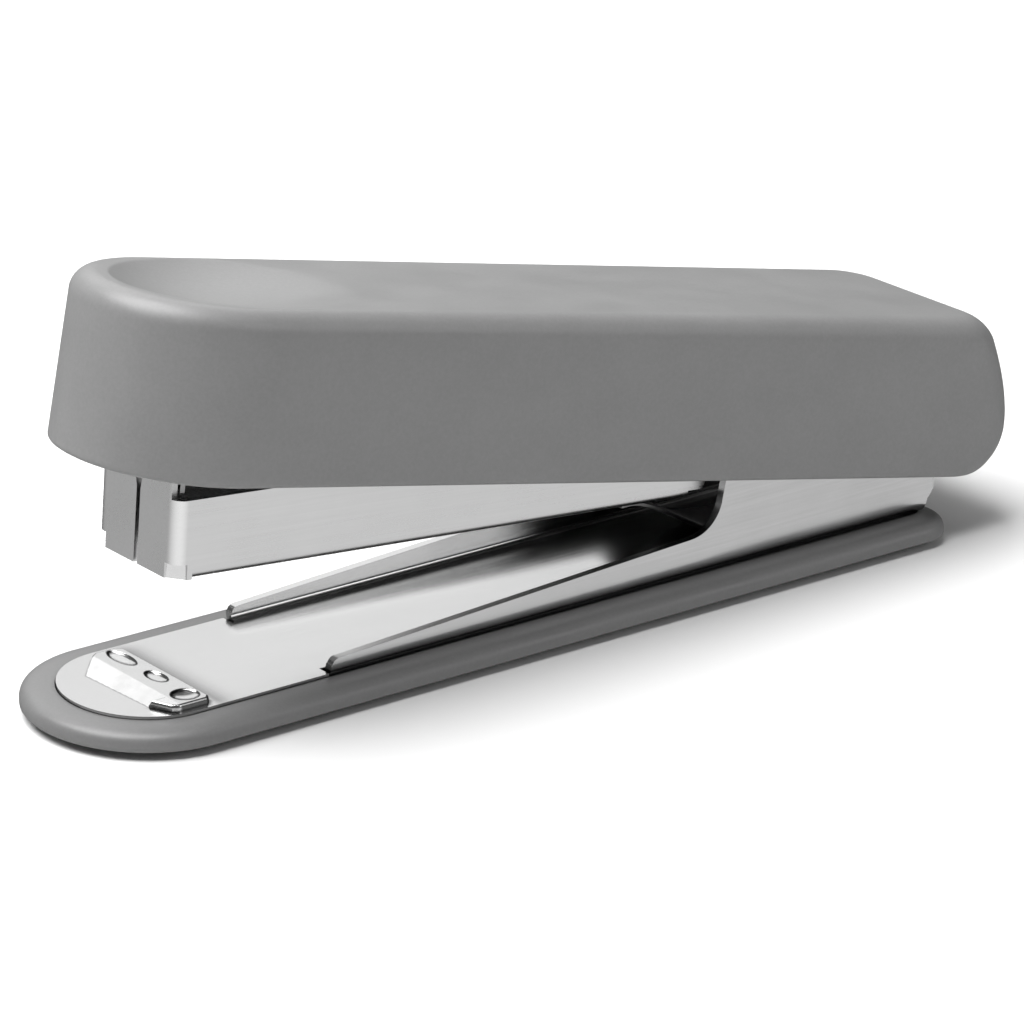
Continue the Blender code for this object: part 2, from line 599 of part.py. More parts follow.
def magazine_channel():
    """A folded channel: two walls that close across the nose with a slit, and a floor."""
    front, half, bend = CHANNEL_FRONT, CHANNEL_HALF_WIDTH, CHANNEL_BEND
    outer = (arc((front + bend, half - bend), bend, 90, 180, 5)
             + arc((front + bend, -half + bend), bend, 180, 270, 5))
    inner = (arc((front + bend, -half + bend), bend - SHEET, 270, 180, 4)
             + arc((front + bend, half - bend), bend - SHEET, 180, 90, 4))
    plan = ([(ARM_REACH, half)] + outer + [(ARM_REACH, -half), (ARM_REACH, -half + SHEET)] + inner
            + [(ARM_REACH, half - SHEET)])
    channel = outline_solid(plan, "plan", 0.0, 2 * THROUGH)
    add_node(channel, "magazine_channel", magazine_axis, NICKEL_STEEL)
    side = add_cutter(outline_solid(magazine_side_outline(), "side", 0.0, 2 * THROUGH),
                      "magazine_side", magazine_axis)
    combine(channel, side, "INTERSECT")
    floor = add_cutter(box((FLOOR_FRONT, -half + FLOOR_INSET, CHANNEL_BOTTOM),
                           (WALL_END_X - HEEL_RADIUS, half - FLOOR_INSET, CHANNEL_BOTTOM + SHEET)),
                       "magazine_floor", magazine_axis)
    combine(channel, floor, "UNION")
    ahead, behind = front - SHEET, front + 2 * SHEET
    slit = add_cutter(box((ahead, SLIT_SIDES[0], -THROUGH), (behind, SLIT_SIDES[1], THROUGH)),
                      "nose_slit", magazine_axis)
    combine(channel, slit, "DIFFERENCE")
    relief_half, relief_height = NOSE_RELIEF
    for side in (-1, 1):
        low, high = sorted((side * relief_half, side * THROUGH))
        relief = add_cutter(box((ahead, low, -THROUGH), (behind, high, CHANNEL_BOTTOM + relief_height)),
                            f"nose_relief_{side}", magazine_axis)
        combine(channel, relief, "DIFFERENCE")
        low, high = sorted((side * NOSE_SHOULDER, side * THROUGH))
        shoulder = add_cutter(box((ahead, low, CHANNEL_TOP), (behind, high, THROUGH)),
                              f"nose_shoulder_{side}", magazine_axis)
        combine(channel, shoulder, "DIFFERENCE")
    pin = add_cutter(rod(PIN_HOLE_RADIUS, -THROUGH, THROUGH, "Y"), "magazine_pin_hole", magazine_axis)
    combine(channel, pin, "DIFFERENCE")
    smooth(channel)


def saddle(outer_half, inner_half, top, under, bottom):
    """An upside-down U seen from the end."""
    return [(-outer_half, bottom), (-inner_half, bottom), (-inner_half, under),
            (inner_half, under), (inner_half, bottom), (outer_half, bottom),
            (outer_half, top), (-outer_half, top)]


def staple_parts():
    """The inner rail, the strip of staples astride it, and the bracket behind them."""
    floor_top = CHANNEL_BOTTOM + SHEET
    rail = outline_solid(saddle(RAIL_HALF_WIDTH, RAIL_HALF_WIDTH - SHEET, RAIL_TOP,
                                RAIL_TOP - SHEET, floor_top + GAP),
                         "end", (RAIL_START + RAIL_END) / 2, RAIL_END - RAIL_START)
    add_node(rail, "staple_rail", magazine_axis, NICKEL_STEEL)

    strip_end = PUSHER_FRONT - GAP
    under = RAIL_TOP + GAP
    strip = outline_solid(saddle(STAPLE_INSIDE + STAPLE_WIRE, STAPLE_INSIDE, under + STAPLE_WIRE,
                                 under, under + STAPLE_WIRE - STAPLE_LEG),
                          "end", (RAIL_START + strip_end) / 2, strip_end - RAIL_START)
    add_node(strip, "staple_strip", magazine_axis, ZINC_WIRE)

    half = CHANNEL_HALF_WIDTH - SHEET - GAP
    top_half, top = BRACKET_TOP
    plate = outline_solid([(-half, BRACKET_BOTTOM), (half, BRACKET_BOTTOM), (half, BRACKET_SHOULDER),
                           (top_half, top), (-top_half, top), (-half, BRACKET_SHOULDER)],
                          "end", BRACKET_X, SHEET,
                          holes=[arc((0.0, ROD_Z), ROD_RADIUS + GAP, 0, 345, 23)])
    add_node(plate, "spring_bracket", magazine_axis, NICKEL_STEEL)


def helix(radius, first, last, per_turn, start, end, axis, centre=(0.0, 0.0)):
    """Points of a coil about X or Y, from a first to a last angle in degrees."""
    count = round((last - first) / 360 * per_turn)
    points = []
    for i in range(count + 1):
        part = i / count
        angle = math.radians(first + (last - first) * part)
        along = start + (end - start) * part
        u, v = centre[0] + radius * math.cos(angle), centre[1] + radius * math.sin(angle)
        points.append((along, u, v) if axis == "X" else (u, along, v))
    return points


def pusher_parts():
    """The pusher astride the rail, its guide rod through the bracket, and the coil on the rod."""
    inner, under = RAIL_HALF_WIDTH + GAP, RAIL_TOP + GAP
    block = outline_solid(saddle(inner + PUSHER_SHEET, inner, under + PUSHER_TOP, under, PUSHER_BOTTOM),
                          "end", PUSHER_FRONT + PUSHER_LENGTH / 2, PUSHER_LENGTH)
    add_node(block, "pusher", magazine_axis, NICKEL_STEEL)
    (shoulder_half, shoulder), (top_half, top) = LUG
    foot = under + PUSHER_TOP / 2
    lug = add_cutter(outline_solid([(-shoulder_half, foot), (shoulder_half, foot),
                                    (shoulder_half, shoulder), (top_half, top),
                                    (-top_half, top), (-shoulder_half, shoulder)],
                                   "end", LUG_X, LUG_THICK), "pusher_lug", magazine_axis)
    combine(block, lug, "UNION")
    bore = add_cutter(rod(ROD_RADIUS + ROD_PLAY, LUG_X - LUG_THICK, LUG_X + LUG_THICK, "X",
                          (0.0, ROD_Z)), "lug_bore", magazine_axis)
    combine(block, bore, "DIFFERENCE")

    head = LUG_X - LUG_THICK / 2 - ROD_PLAY
    stem = rod(ROD_RADIUS, head - 0.75 * ROD_HEAD, ROD_END, "X", (0.0, ROD_Z), segments=16)
    add_node(stem, "pusher_rod", magazine_axis, SPRING_STEEL)
    button = add_cutter(rod(ROD_HEAD_RADIUS, head - ROD_HEAD, head, "X", (0.0, ROD_Z), segments=16),
                        "rod_head", magazine_axis)
    combine(stem, button, "UNION")
    smooth(stem)

    mean_radius, wire_radius, turns = PUSHER_COIL
    start = LUG_X + LUG_THICK / 2 + GAP + wire_radius
    end = BRACKET_X - SHEET / 2 - GAP - wire_radius
    coil = helix(mean_radius, 0, turns * 360, 12, start, end, "X", (0.0, ROD_Z))
    add_node(wire(coil, wire_radius), "pusher_spring", magazine_axis, SPRING_STEEL)


def cover_spring():
    """A torsion spring round the pin: its lower leg bears on the magazine, its upper on the frame."""
    (near, far), (mean_radius, wire_radius) = COVER_COIL_SIDES, COVER_COIL
    coil = helix(mean_radius, *COVER_COIL_TURN, 14, near, far, "Y")
    lower = (LOWER_LEG_END[0], near, LOWER_LEG_END[1])
    upper = (UPPER_LEG_END[0], far, UPPER_LEG_END[1])
    add_node(wire([lower] + coil + [upper], wire_radius), "cover_spring", magazine_axis, SPRING_STEEL)


# ---- Cover: plastic shell, steel frame, blade, fasteners ---------------------------------------
def cover_section(height, inset):
    """The cover's plan at one height: a squarish rounded front and a rounded, leaning rear."""
    points = []
    half = COVER_HALF_WIDTH - inset
    nose_centre = COVER_FRONT + NOSE_REACH
    reach = NOSE_REACH - inset
    power = 2.0 / NOSE_POWER
    steps = 14
    for i in range(steps + 1):
        angle = math.pi / 2 + math.pi * i / steps
        c, s = math.cos(angle), math.sin(angle)
        points.append((nose_centre - reach * abs(c) ** power,
                       half * math.copysign(abs(s) ** power, s)))
    rear = rear_reach(height) - inset
    corner = REAR_CORNER - inset
    for side in (-1, 1):
        turn = arc((rear - corner, half - corner), corner, 90, 0, 5)
        if side < 0:
            points += [(x, -y) for x, y in turn]
        else:
            points += list(reversed(turn))
    return [(x, y, height) for x, y in points]


def rear_reach(height):
    """How far the rear face stands behind the pin: it leans out going down, then rounds under."""
    if height >= REAR_FULLEST:
        part = (height - REAR_FULLEST) / (COVER_TOP - REAR_FULLEST)
        return REAR_WIDEST - (REAR_WIDEST - REAR_LEAST) * part ** REAR_LEAN_POWER
    part = (REAR_FULLEST - height) / REAR_UNDER
    return REAR_WIDEST - REAR_UNDER * (1.0 - math.sqrt(1.0 - part ** 2))


def top_cover():
    """The moulded cover: a long cap, open below, with a rounded top edge and a thumb dish."""
    levels = []
    for i in range(7):
        levels.append((COVER_BOTTOM + REAR_UNDER * (i / 6) ** 1.3, 0.0))
    levels += [(-2.0 * MM, 0.0), (COVER_TOP - COVER_EDGE, 0.0)]
    for i in range(1, 5):
        angle = math.radians(90 * i / 4)
        levels.append((COVER_TOP - COVER_EDGE * (1 - math.sin(angle)),
                       COVER_EDGE * (1 - math.cos(angle))))
    shape = bmesh.new()
    rings = [[shape.verts.new(p) for p in cover_section(h, inset)] for h, inset in levels]
    count = len(rings[0])
    for lower, upper in zip(rings, rings[1:]):
        for i in range(count):
            j = (i + 1) % count
            shape.faces.new((lower[i], lower[j], upper[j], upper[i]))
    cap = shape.faces.new(rings[-1])
    bmesh.ops.recalc_face_normals(shape, faces=shape.faces)
    if cap.normal.z < 0:
        bmesh.ops.reverse_faces(shape, faces=shape.faces)
    cover = mesh_object(shape)
    add_node(cover, "top_cover", cover_axis, GREY_PLASTIC)
    wall = cover.modifiers.new("wall", "SOLIDIFY")
    wall.thickness = COVER_WALL
    wall.offset = -1.0
    wall.use_even_offset = True
    dish = add_cutter(egg(DISH, (DISH_X, 0.0, COVER_TOP + DISH_RISE), 28, DISH_TILT),
                      "thumb_dish", cover_axis)
    combine(cover, dish, "DIFFERENCE")
    notch = add_cutter(box(*REAR_NOTCH), "rear_notch", cover_axis)
    combine(cover, notch, "DIFFERENCE")
    for index, x in enumerate(SCREW_X):
        boss = add_cutter(rod(BOSS_RADIUS, FRAME_TOP + GAP, COVER_TOP - COVER_WALL / 2, "Z", (x, 0.0)),
                          f"screw_boss_{index}", cover_axis)
        combine(cover, boss, "UNION")
        hole = add_cutter(rod(SCREW_RADIUS + GAP, 0.0, SCREW_HOLE_TOP, "Z", (x, 0.0)),
                          f"screw_hole_{index}", cover_axis)
        combine(cover, hole, "DIFFERENCE")
    smooth(cover)


def cover_frame_part():
    """The steel arm inside the cover: an upside-down channel whose round ears turn on the pin."""
    half, wall = FRAME_HALF_WIDTH, FRAME_HALF_WIDTH - SHEET
    under = FRAME_TOP - SHEET
    section = [(-half, FRAME_DEPTH), (-wall, FRAME_DEPTH), (-wall, under), (wall, under),
               (wall, FRAME_DEPTH), (half, FRAME_DEPTH), (half, EAR_RADIUS), (wall, EAR_RADIUS),
               (wall, FRAME_TOP), (-wall, FRAME_TOP), (-wall, EAR_RADIUS), (-half, EAR_RADIUS)]
    arm = outline_solid(section, "end", (FRAME_FRONT + FRAME_REAR) / 2, FRAME_REAR - FRAME_FRONT)
    add_node(arm, "cover_frame", cover_axis, NICKEL_STEEL)
    outline = [(FRAME_FRONT, FRAME_SIDE_BOTTOM), (FRAME_ARM_X[0], FRAME_SIDE_BOTTOM),
               (FRAME_ARM_X[1], -EAR_RADIUS)]
    outline += arc((0.0, 0.0), EAR_RADIUS, -90, 90, 10)
    outline += [(FRAME_OPENING_X[0], FRAME_TOP), (FRAME_FRONT, FRAME_TOP)]
    side = add_cutter(outline_solid(outline, "side", 0.0, 2 * THROUGH), "frame_side", cover_axis)
    combine(arm, side, "INTERSECT")
    opening = add_cutter(box((FRAME_OPENING_X[0], -wall, -FRAME_OPENING_Z),
                             (FRAME_OPENING_X[1], wall, FRAME_OPENING_Z)),
                         "frame_rear_opening", cover_axis)
    combine(arm, opening, "DIFFERENCE")
    pin = add_cutter(rod(PIN_HOLE_RADIUS, -THROUGH, THROUGH, "Y"), "frame_pin_hole", cover_axis)
    combine(arm, pin, "DIFFERENCE")
    places = [(x, 0.0, SCREW_RADIUS) for x in SCREW_X]
    places += [(BLADE_RIVET_X, y, BLADE_RIVET_RADIUS) for y in BLADE_RIVETS_Y]
    for index, (x, y, radius) in enumerate(places):
        hole = add_cutter(rod(radius + GAP, -THROUGH, THROUGH, "Z", (x, y)),
                          f"frame_hole_{index}", cover_axis)
        combine(arm, hole, "DIFFERENCE")
    smooth(arm)


def driver_blade():
    """The hardened blade that drives a staple, folded at the top to meet the frame."""
    tip_x, tip_z = BLADE_TIP
    fold_z = FRAME_TOP - SHEET - GAP
    lean = math.tan(BLADE_PITCH)
    top_x = tip_x - lean * (fold_z - tip_z)
    outline = [(tip_x, tip_z), (top_x, fold_z), (BLADE_FOLD_END, fold_z),
               (BLADE_FOLD_END, fold_z - BLADE_THICK),
               (top_x + lean * BLADE_THICK + BLADE_THICK, fold_z - BLADE_THICK),
               (tip_x + BLADE_THICK, tip_z)]
    blade = outline_solid(outline, "side", 0.0, 2 * BLADE_HALF_WIDTH)
    add_node(blade, "driver_blade", cover_axis, NICKEL_STEEL)
    for index, y in enumerate(BLADE_RIVETS_Y):
        hole = add_cutter(rod(BLADE_RIVET_RADIUS + GAP, fold_z - 2 * BLADE_THICK, fold_z + BLADE_THICK,
                              "Z", (BLADE_RIVET_X, y)), f"blade_rivet_hole_{index}", cover_axis)
        combine(blade, hole, "DIFFERENCE")


def cover_fasteners():
    """Two screws that hold the frame in the cover, and two rivets that hold the blade."""
    under = FRAME_TOP - SHEET
    seat, point, chamfer = under - GAP, SCREW_HOLE_TOP - 0.4 * MM, 0.3 * MM
    for name, x in zip(("cover_screw_front", "cover_screw_rear"), SCREW_X):
        profile = [(0.0, point), (SCREW_RADIUS - chamfer, point - 0.2 * MM),
                   (SCREW_RADIUS, point - 2 * chamfer), (SCREW_RADIUS, seat), (SCREW_HEAD_RADIUS, seat),
                   (SCREW_HEAD_RADIUS, seat - 0.6 * SCREW_HEAD),
                   (0.75 * SCREW_HEAD_RADIUS, seat - SCREW_HEAD), (0.0, seat - SCREW_HEAD)]
        turned(name, profile, cover_axis, NICKEL_STEEL, "Z", (x, 0.0, 0.0))
    seat = under - GAP - BLADE_THICK - GAP
    top = FRAME_TOP + GAP
    head_radius, head = BLADE_RIVET_HEAD
    tail_radius, tail = BLADE_RIVET_TAIL
    for name, y in zip(("blade_rivet_left", "blade_rivet_right"), BLADE_RIVETS_Y):
        profile = [(0.0, FRAME_TOP + head), (0.7 * head_radius, FRAME_TOP + 0.9 * head),
                   (head_radius, top), (BLADE_RIVET_RADIUS, top), (BLADE_RIVET_RADIUS, seat),
                   (tail_radius, seat), (tail_radius, seat - 0.8 * tail), (0.0, seat - tail)]
        turned(name, profile, cover_axis, NICKEL_STEEL, "Z", (BLADE_RIVET_X, y, 0.0))


base_shell()
base_plate()
foot_pads()
anvil()
magazine_spring()
pins_and_rivets()
magazine_channel()
staple_parts()
pusher_parts()
cover_spring()
top_cover()
cover_frame_part()
driver_blade()
cover_fasteners()
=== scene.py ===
"""The looks of a half-strip desk stapler: grey moulded plastic over nickel-plated sheet steel.

Every piece is drawn in millimetres in the space of the group it belongs to, then put in place once:
the base's space starts at the centre of its rounded front, on top of the steel plate, and the
magazine's and the cover's spaces start on the hinge pin, tipped nose up.
"""
import math

import bmesh
import bpy
import numpy as np
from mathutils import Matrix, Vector
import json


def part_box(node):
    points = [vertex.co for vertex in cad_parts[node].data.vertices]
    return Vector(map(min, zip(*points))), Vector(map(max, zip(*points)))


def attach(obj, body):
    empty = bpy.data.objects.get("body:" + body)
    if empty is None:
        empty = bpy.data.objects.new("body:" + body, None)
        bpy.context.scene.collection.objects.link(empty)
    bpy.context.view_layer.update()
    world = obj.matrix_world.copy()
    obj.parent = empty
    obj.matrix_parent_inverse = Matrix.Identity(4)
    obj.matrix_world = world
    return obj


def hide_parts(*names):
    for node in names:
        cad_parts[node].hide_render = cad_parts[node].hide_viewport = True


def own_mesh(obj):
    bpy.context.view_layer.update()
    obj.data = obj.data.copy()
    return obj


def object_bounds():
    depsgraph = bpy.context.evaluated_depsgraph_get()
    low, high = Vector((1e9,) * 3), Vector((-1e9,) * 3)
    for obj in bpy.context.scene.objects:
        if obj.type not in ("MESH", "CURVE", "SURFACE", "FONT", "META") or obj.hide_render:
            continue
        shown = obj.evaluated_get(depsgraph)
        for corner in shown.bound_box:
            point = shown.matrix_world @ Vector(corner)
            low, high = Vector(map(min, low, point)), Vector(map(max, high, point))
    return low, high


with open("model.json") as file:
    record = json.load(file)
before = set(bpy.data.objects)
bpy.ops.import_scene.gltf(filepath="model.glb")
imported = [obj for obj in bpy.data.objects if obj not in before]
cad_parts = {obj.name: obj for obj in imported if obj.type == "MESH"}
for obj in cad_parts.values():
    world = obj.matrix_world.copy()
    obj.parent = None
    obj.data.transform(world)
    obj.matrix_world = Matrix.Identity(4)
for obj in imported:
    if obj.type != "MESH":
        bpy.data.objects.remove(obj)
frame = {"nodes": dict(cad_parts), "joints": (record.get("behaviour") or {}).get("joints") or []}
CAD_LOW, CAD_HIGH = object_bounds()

# ---- Studio ------------------------------------------------------------------------------------
# A pale sweep under one big soft light, a back light that the flat steel mirrors, and a small light
# on the near side for the bends. Metal doesn't mirror the sweep: below the horizon it sees a gradient.
scene = bpy.context.scene
scene.view_settings.view_transform = "Standard"

VIEW_AZIMUTH, VIEW_ELEVATION = math.radians(-37.0), math.radians(20.41)
VIEW_DISTANCE = 0.54703
LENS = 175.78
LOWER_BY, LEFT_BY = 0.01192, 0.00095      # where the camera aims, from the middle of the stapler

camera_data = bpy.data.cameras.new("camera")
camera_data.lens = LENS
camera_data.sensor_width = 36.0
camera_data.clip_start, camera_data.clip_end = 0.01, 20.0
camera = bpy.data.objects.new("camera", camera_data)
scene.collection.objects.link(camera)
camera.rotation_euler = (math.pi / 2 - VIEW_ELEVATION, 0.0, VIEW_AZIMUTH)
view_turn = camera.rotation_euler.to_matrix()
camera.location = (CAD_LOW + CAD_HIGH) / 2 + view_turn @ Vector((-LEFT_BY, -LOWER_BY, VIEW_DISTANCE))
scene.camera = camera


def soft_light(name, place, aim, size, power):
    """A square area light of a given size, looking from its place at a point."""
    data = bpy.data.lights.new(name, "AREA")
    data.shape = "SQUARE"
    data.size = size
    data.energy = power
    light = bpy.data.objects.new(name, data)
    scene.collection.objects.link(light)
    light.location = place
    light.rotation_euler = (Vector(aim) - Vector(place)).to_track_quat("-Z", "Y").to_euler()


soft_light("key", (-0.28, 0.16, 0.84), (0.0, 0.0, 0.0), 0.8, 18.5)
soft_light("back", (0.27, 0.63, 0.53), (0.0, 0.0, 0.0), 0.6, 1.7)
soft_light("edge_light", (0.46, -0.56, 0.36), (0.0, 0.0, 0.02), 0.36, 1.0)

def node_of(tree, kind, **values):
    """A new shader node with some of its inputs or properties set by name."""
    node = tree.nodes.new(kind)
    for name, value in values.items():
        if name in node.inputs:
            node.inputs[name].default_value = value
        else:
            setattr(node, name, value)
    return node


world = bpy.data.worlds.new("studio")
world.use_nodes = True
world_tree = world.node_tree
FLOOR_GLOSS, GLOSS_CHANGE, AMBIENT = 0.81, (-0.44, -0.58, 0.0), 0.11
HORIZON_LOW, HORIZON_HIGH = -0.08, 0.06
direction = world_tree.nodes.new("ShaderNodeTexCoord").outputs["Generated"]
facing = node_of(world_tree, "ShaderNodeVectorMath", operation="DOT_PRODUCT")
facing.inputs[1].default_value = GLOSS_CHANGE
level = node_of(world_tree, "ShaderNodeMath", operation="ADD")
level.inputs[1].default_value = FLOOR_GLOSS
upright = world_tree.nodes.new("ShaderNodeSeparateXYZ")
horizon = world_tree.nodes.new("ShaderNodeMapRange")
horizon.inputs["From Min"].default_value = HORIZON_LOW
horizon.inputs["From Max"].default_value = HORIZON_HIGH
horizon.inputs["To Max"].default_value = AMBIENT
backdrop = world_tree.nodes["Background"]
backdrop.inputs["Color"].default_value = (1.0, 1.0, 1.0, 1.0)
for start, end in ((direction, facing.inputs[0]), (facing.outputs["Value"], level.inputs[0]),
                   (direction, upright.inputs[0]), (upright.outputs["Z"], horizon.inputs["Value"]),
                   (level.outputs[0], horizon.inputs["To Min"]),
                   (horizon.outputs["Result"], backdrop.inputs["Strength"])):
    world_tree.links.new(start, end)
scene.world = world

floor_mesh = bpy.data.meshes.new("floor")
FLOOR_REACH = 3.0
floor_mesh.from_pydata([(-FLOOR_REACH, -FLOOR_REACH, 0.0), (FLOOR_REACH, -FLOOR_REACH, 0.0),
                        (FLOOR_REACH, FLOOR_REACH, 0.0), (-FLOOR_REACH, FLOOR_REACH, 0.0)],
                       [], [(0, 1, 2, 3)])
floor = bpy.data.objects.new("floor", floor_mesh)
scene.collection.objects.link(floor)
floor.visible_glossy = False
floor_paint = bpy.data.materials.new("pale_floor")
floor_paint.use_nodes = True
floor_shader = floor_paint.node_tree.nodes["Principled BSDF"]
floor_shader.inputs["Base Color"].default_value = (0.72, 0.72, 0.72, 1)
floor_shader.inputs["Roughness"].default_value = 0.7
floor_mesh.materials.append(floor_paint)

# ---- Foot pads ---------------------------------------------------------------------------------
# Two black rubber pads pressed into the underside of the tray. They are moulded with fine ribs
# across them for grip, and they are all that touches the table.
MM = 0.001


def box_mm(node):
    """A node's lowest and highest corners, as two arrays in millimetres."""
    low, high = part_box(node)
    return np.array(low) / MM, np.array(high) / MM


def cells(rows, columns, keep=None):
    """The corners of each cell of a grid of points, in turn round the cell: one row of four for each."""
    index = np.arange(rows * columns).reshape(rows, columns)
    corners = np.stack([index[:-1, :-1], index[1:, :-1], index[1:, 1:], index[:-1, 1:]], axis=-1)
    return corners.reshape(-1, 4) if keep is None else corners[keep]


def make_piece(name, points, faces, material, body, replaced=(), sharp=35.0):
    """Points in metres and faces as one closed mesh: doubles merged, faces turned outwards."""
    mesh = bpy.data.meshes.new(name)
    mesh.from_pydata(points.reshape(-1, 3).tolist(), [], faces.tolist())
    work = bmesh.new()
    work.from_mesh(mesh)
    bmesh.ops.remove_doubles(work, verts=work.verts, dist=0.002 * MM)
    bmesh.ops.dissolve_degenerate(work, edges=work.edges, dist=0.001 * MM)
    bmesh.ops.recalc_face_normals(work, faces=work.faces)
    work.to_mesh(mesh)
    work.free()
    mesh.shade_smooth()
    mesh.set_sharp_from_angle(angle=math.radians(sharp))
    mesh.materials.append(material)
    piece = bpy.data.objects.new(name, mesh)
    scene.collection.objects.link(piece)
    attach(piece, body)
    if replaced:
        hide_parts(*replaced)
    return piece


def sheet_piece(name, place, blocks, material, body, replaced, sharp=40.0):
    """A piece of folded sheet, from its blocks of two skins, put in place by its group's rule."""
    points, faces = close_sheet(blocks)
    return make_piece(name, place(points), faces, material, body, replaced, sharp)


def grid_piece(name, points, material, body, replaced, sharp=40.0):
    """A piece whose surface is one grid of points that closes on itself."""
    return make_piece(name, points, cells(*points.shape[:2]), material, body, replaced, sharp)


def join_grids(grids):
    """Several grids of points as one point and face list; a mask may drop some of a grid's cells."""
    points, faces, count = [], [], 0
    for grid, keep in grids:
        rows, columns = grid.shape[:2]
        points.append(grid.reshape(-1, 3))
        faces.append(cells(rows, columns, keep) + count)
        count += rows * columns
    return np.concatenate(points), np.concatenate(faces)


def close_sheet(blocks):
    """Blocks of (outer grid, inner grid, mask): both skins, and a strip along every free edge.

    A free edge belongs to one face only, so after points that coincide are given one number, the
    edges that occur once are the sheet's rim, and each gets a four-sided face to the other skin.
    """
    outer, faces = join_grids([(a, keep) for a, b, keep in blocks])
    inner, _ = join_grids([(b, keep) for a, b, keep in blocks])
    _, first, number = np.unique(np.round(outer * 2000.0).astype(np.int64), axis=0,
                                 return_index=True, return_inverse=True)
    outer, inner, faces = outer[first], inner[first], number.reshape(-1)[faces]
    edges = np.concatenate([faces[:, [0, 1]], faces[:, [1, 2]], faces[:, [2, 3]], faces[:, [3, 0]]])
    edges = edges[edges[:, 0] != edges[:, 1]]
    key = np.sort(edges, axis=1)
    _, where, times = np.unique(key, axis=0, return_index=True, return_counts=True)
    rim = edges[where[times == 1]]
    shift = len(outer)
    sides = np.stack([rim[:, 1], rim[:, 0], rim[:, 0] + shift, rim[:, 1] + shift], axis=1)
    return np.concatenate([outer, inner]), np.concatenate([faces, faces[:, ::-1] + shift, sides])


def round_edges(piece, width, segments=3, angle=50.0):
    """A small radius on every edge sharper than the angle, its width in millimetres."""
    bevel = piece.modifiers.new("edge radius", "BEVEL")
    bevel.width = width * MM
    bevel.segments = segments
    bevel.limit_method = "ANGLE"
    bevel.angle_limit = math.radians(angle)
    bevel.harden_normals = True
    return piece


def noise_field(tree, scale, detail=3.0, turn=0.0):
    """Noise on object coordinates, stretched by three scales per metre, after a turn about Y."""
    where = tree.nodes.new("ShaderNodeTexCoord")
    mapping = node_of(tree, "ShaderNodeMapping", Rotation=(0.0, turn, 0.0),
                      Scale=tuple(1.0 / each for each in scale))
    mapping.vector_type = "TEXTURE"
    noise = node_of(tree, "ShaderNodeTexNoise", Scale=1.0, Detail=detail, Roughness=0.55)
    tree.links.new(where.outputs["Object"], mapping.inputs["Vector"])
    tree.links.new(mapping.outputs["Vector"], noise.inputs["Vector"])
    return noise.outputs["Fac"]


def spread(tree, field, low, high, start=0.3, end=0.7):
    """A field between start and end, mapped to a range between low and high."""
    ranged = tree.nodes.new("ShaderNodeMapRange")
    for socket, value in zip(("From Min", "From Max", "To Min", "To Max"), (start, end, low, high)):
        ranged.inputs[socket].default_value = value
    tree.links.new(field, ranged.inputs["Value"])
    return ranged.outputs["Result"]


def tone(tree, field, dark, light, start=0.35, end=0.65):
    """A colour between two, as a field goes from start to end."""
    ramp = tree.nodes.new("ShaderNodeValToRGB")
    ramp.color_ramp.elements[0].position, ramp.color_ramp.elements[1].position = start, end
    ramp.color_ramp.elements[0].color = (*dark, 1.0)
    ramp.color_ramp.elements[1].color = (*light, 1.0)
    tree.links.new(field, ramp.inputs["Fac"])
    return ramp.outputs["Color"]


def bump(tree, field, distance, strength=1.0, under=None):
    """A bump of a given depth in metres, on top of another one if there is one."""
    node = node_of(tree, "ShaderNodeBump", Distance=distance, Strength=strength)
    tree.links.new(field, node.inputs["Height"])
    if under is not None:
        tree.links.new(under, node.inputs["Normal"])
    return node.outputs["Normal"]


def new_finish(name, metallic=0.0):
    """A new node material, as the material, its node tree and its shader."""
    material = bpy.data.materials.new(name)
    material.use_nodes = True
    shader = material.node_tree.nodes["Principled BSDF"]
    shader.inputs["Metallic"].default_value = metallic
    return material, material.node_tree, shader


def halfway(tree, first, second):
    """The mean of two fields."""
    half = node_of(tree, "ShaderNodeMath", operation="MULTIPLY")
    both = node_of(tree, "ShaderNodeMath", operation="MULTIPLY_ADD")
    half.inputs[1].default_value = both.inputs[1].default_value = 0.5
    tree.links.new(second, half.inputs[0])
    tree.links.new(first, both.inputs[0])
    tree.links.new(half.outputs[0], both.inputs[2])
    return both.outputs[0]


def rubber():
    """Black rubber: a dull matt skin with a fine irregular grain and a bloom of grey."""
    material, tree, shader = new_finish("black_rubber")
    fine = noise_field(tree, (5200.0, 5200.0, 5200.0))
    bloom = noise_field(tree, (160.0, 160.0, 160.0), 4.0)
    tree.links.new(tone(tree, bloom, (0.012, 0.012, 0.013), (0.028, 0.028, 0.029)),
                   shader.inputs["Base Color"])
    tree.links.new(spread(tree, bloom, 0.68, 0.86), shader.inputs["Roughness"])
    tree.links.new(bump(tree, fine, 0.03 * MM), shader.inputs["Normal"])
    return material


RUBBER = rubber()
SMALL_RADIUS = (0.12, 2, 60.0)
PAD_CORNER, PAD_BORDER = 3.0, 1.0
RIB_PITCH, RIB_DEPTH = 1.625, 0.35


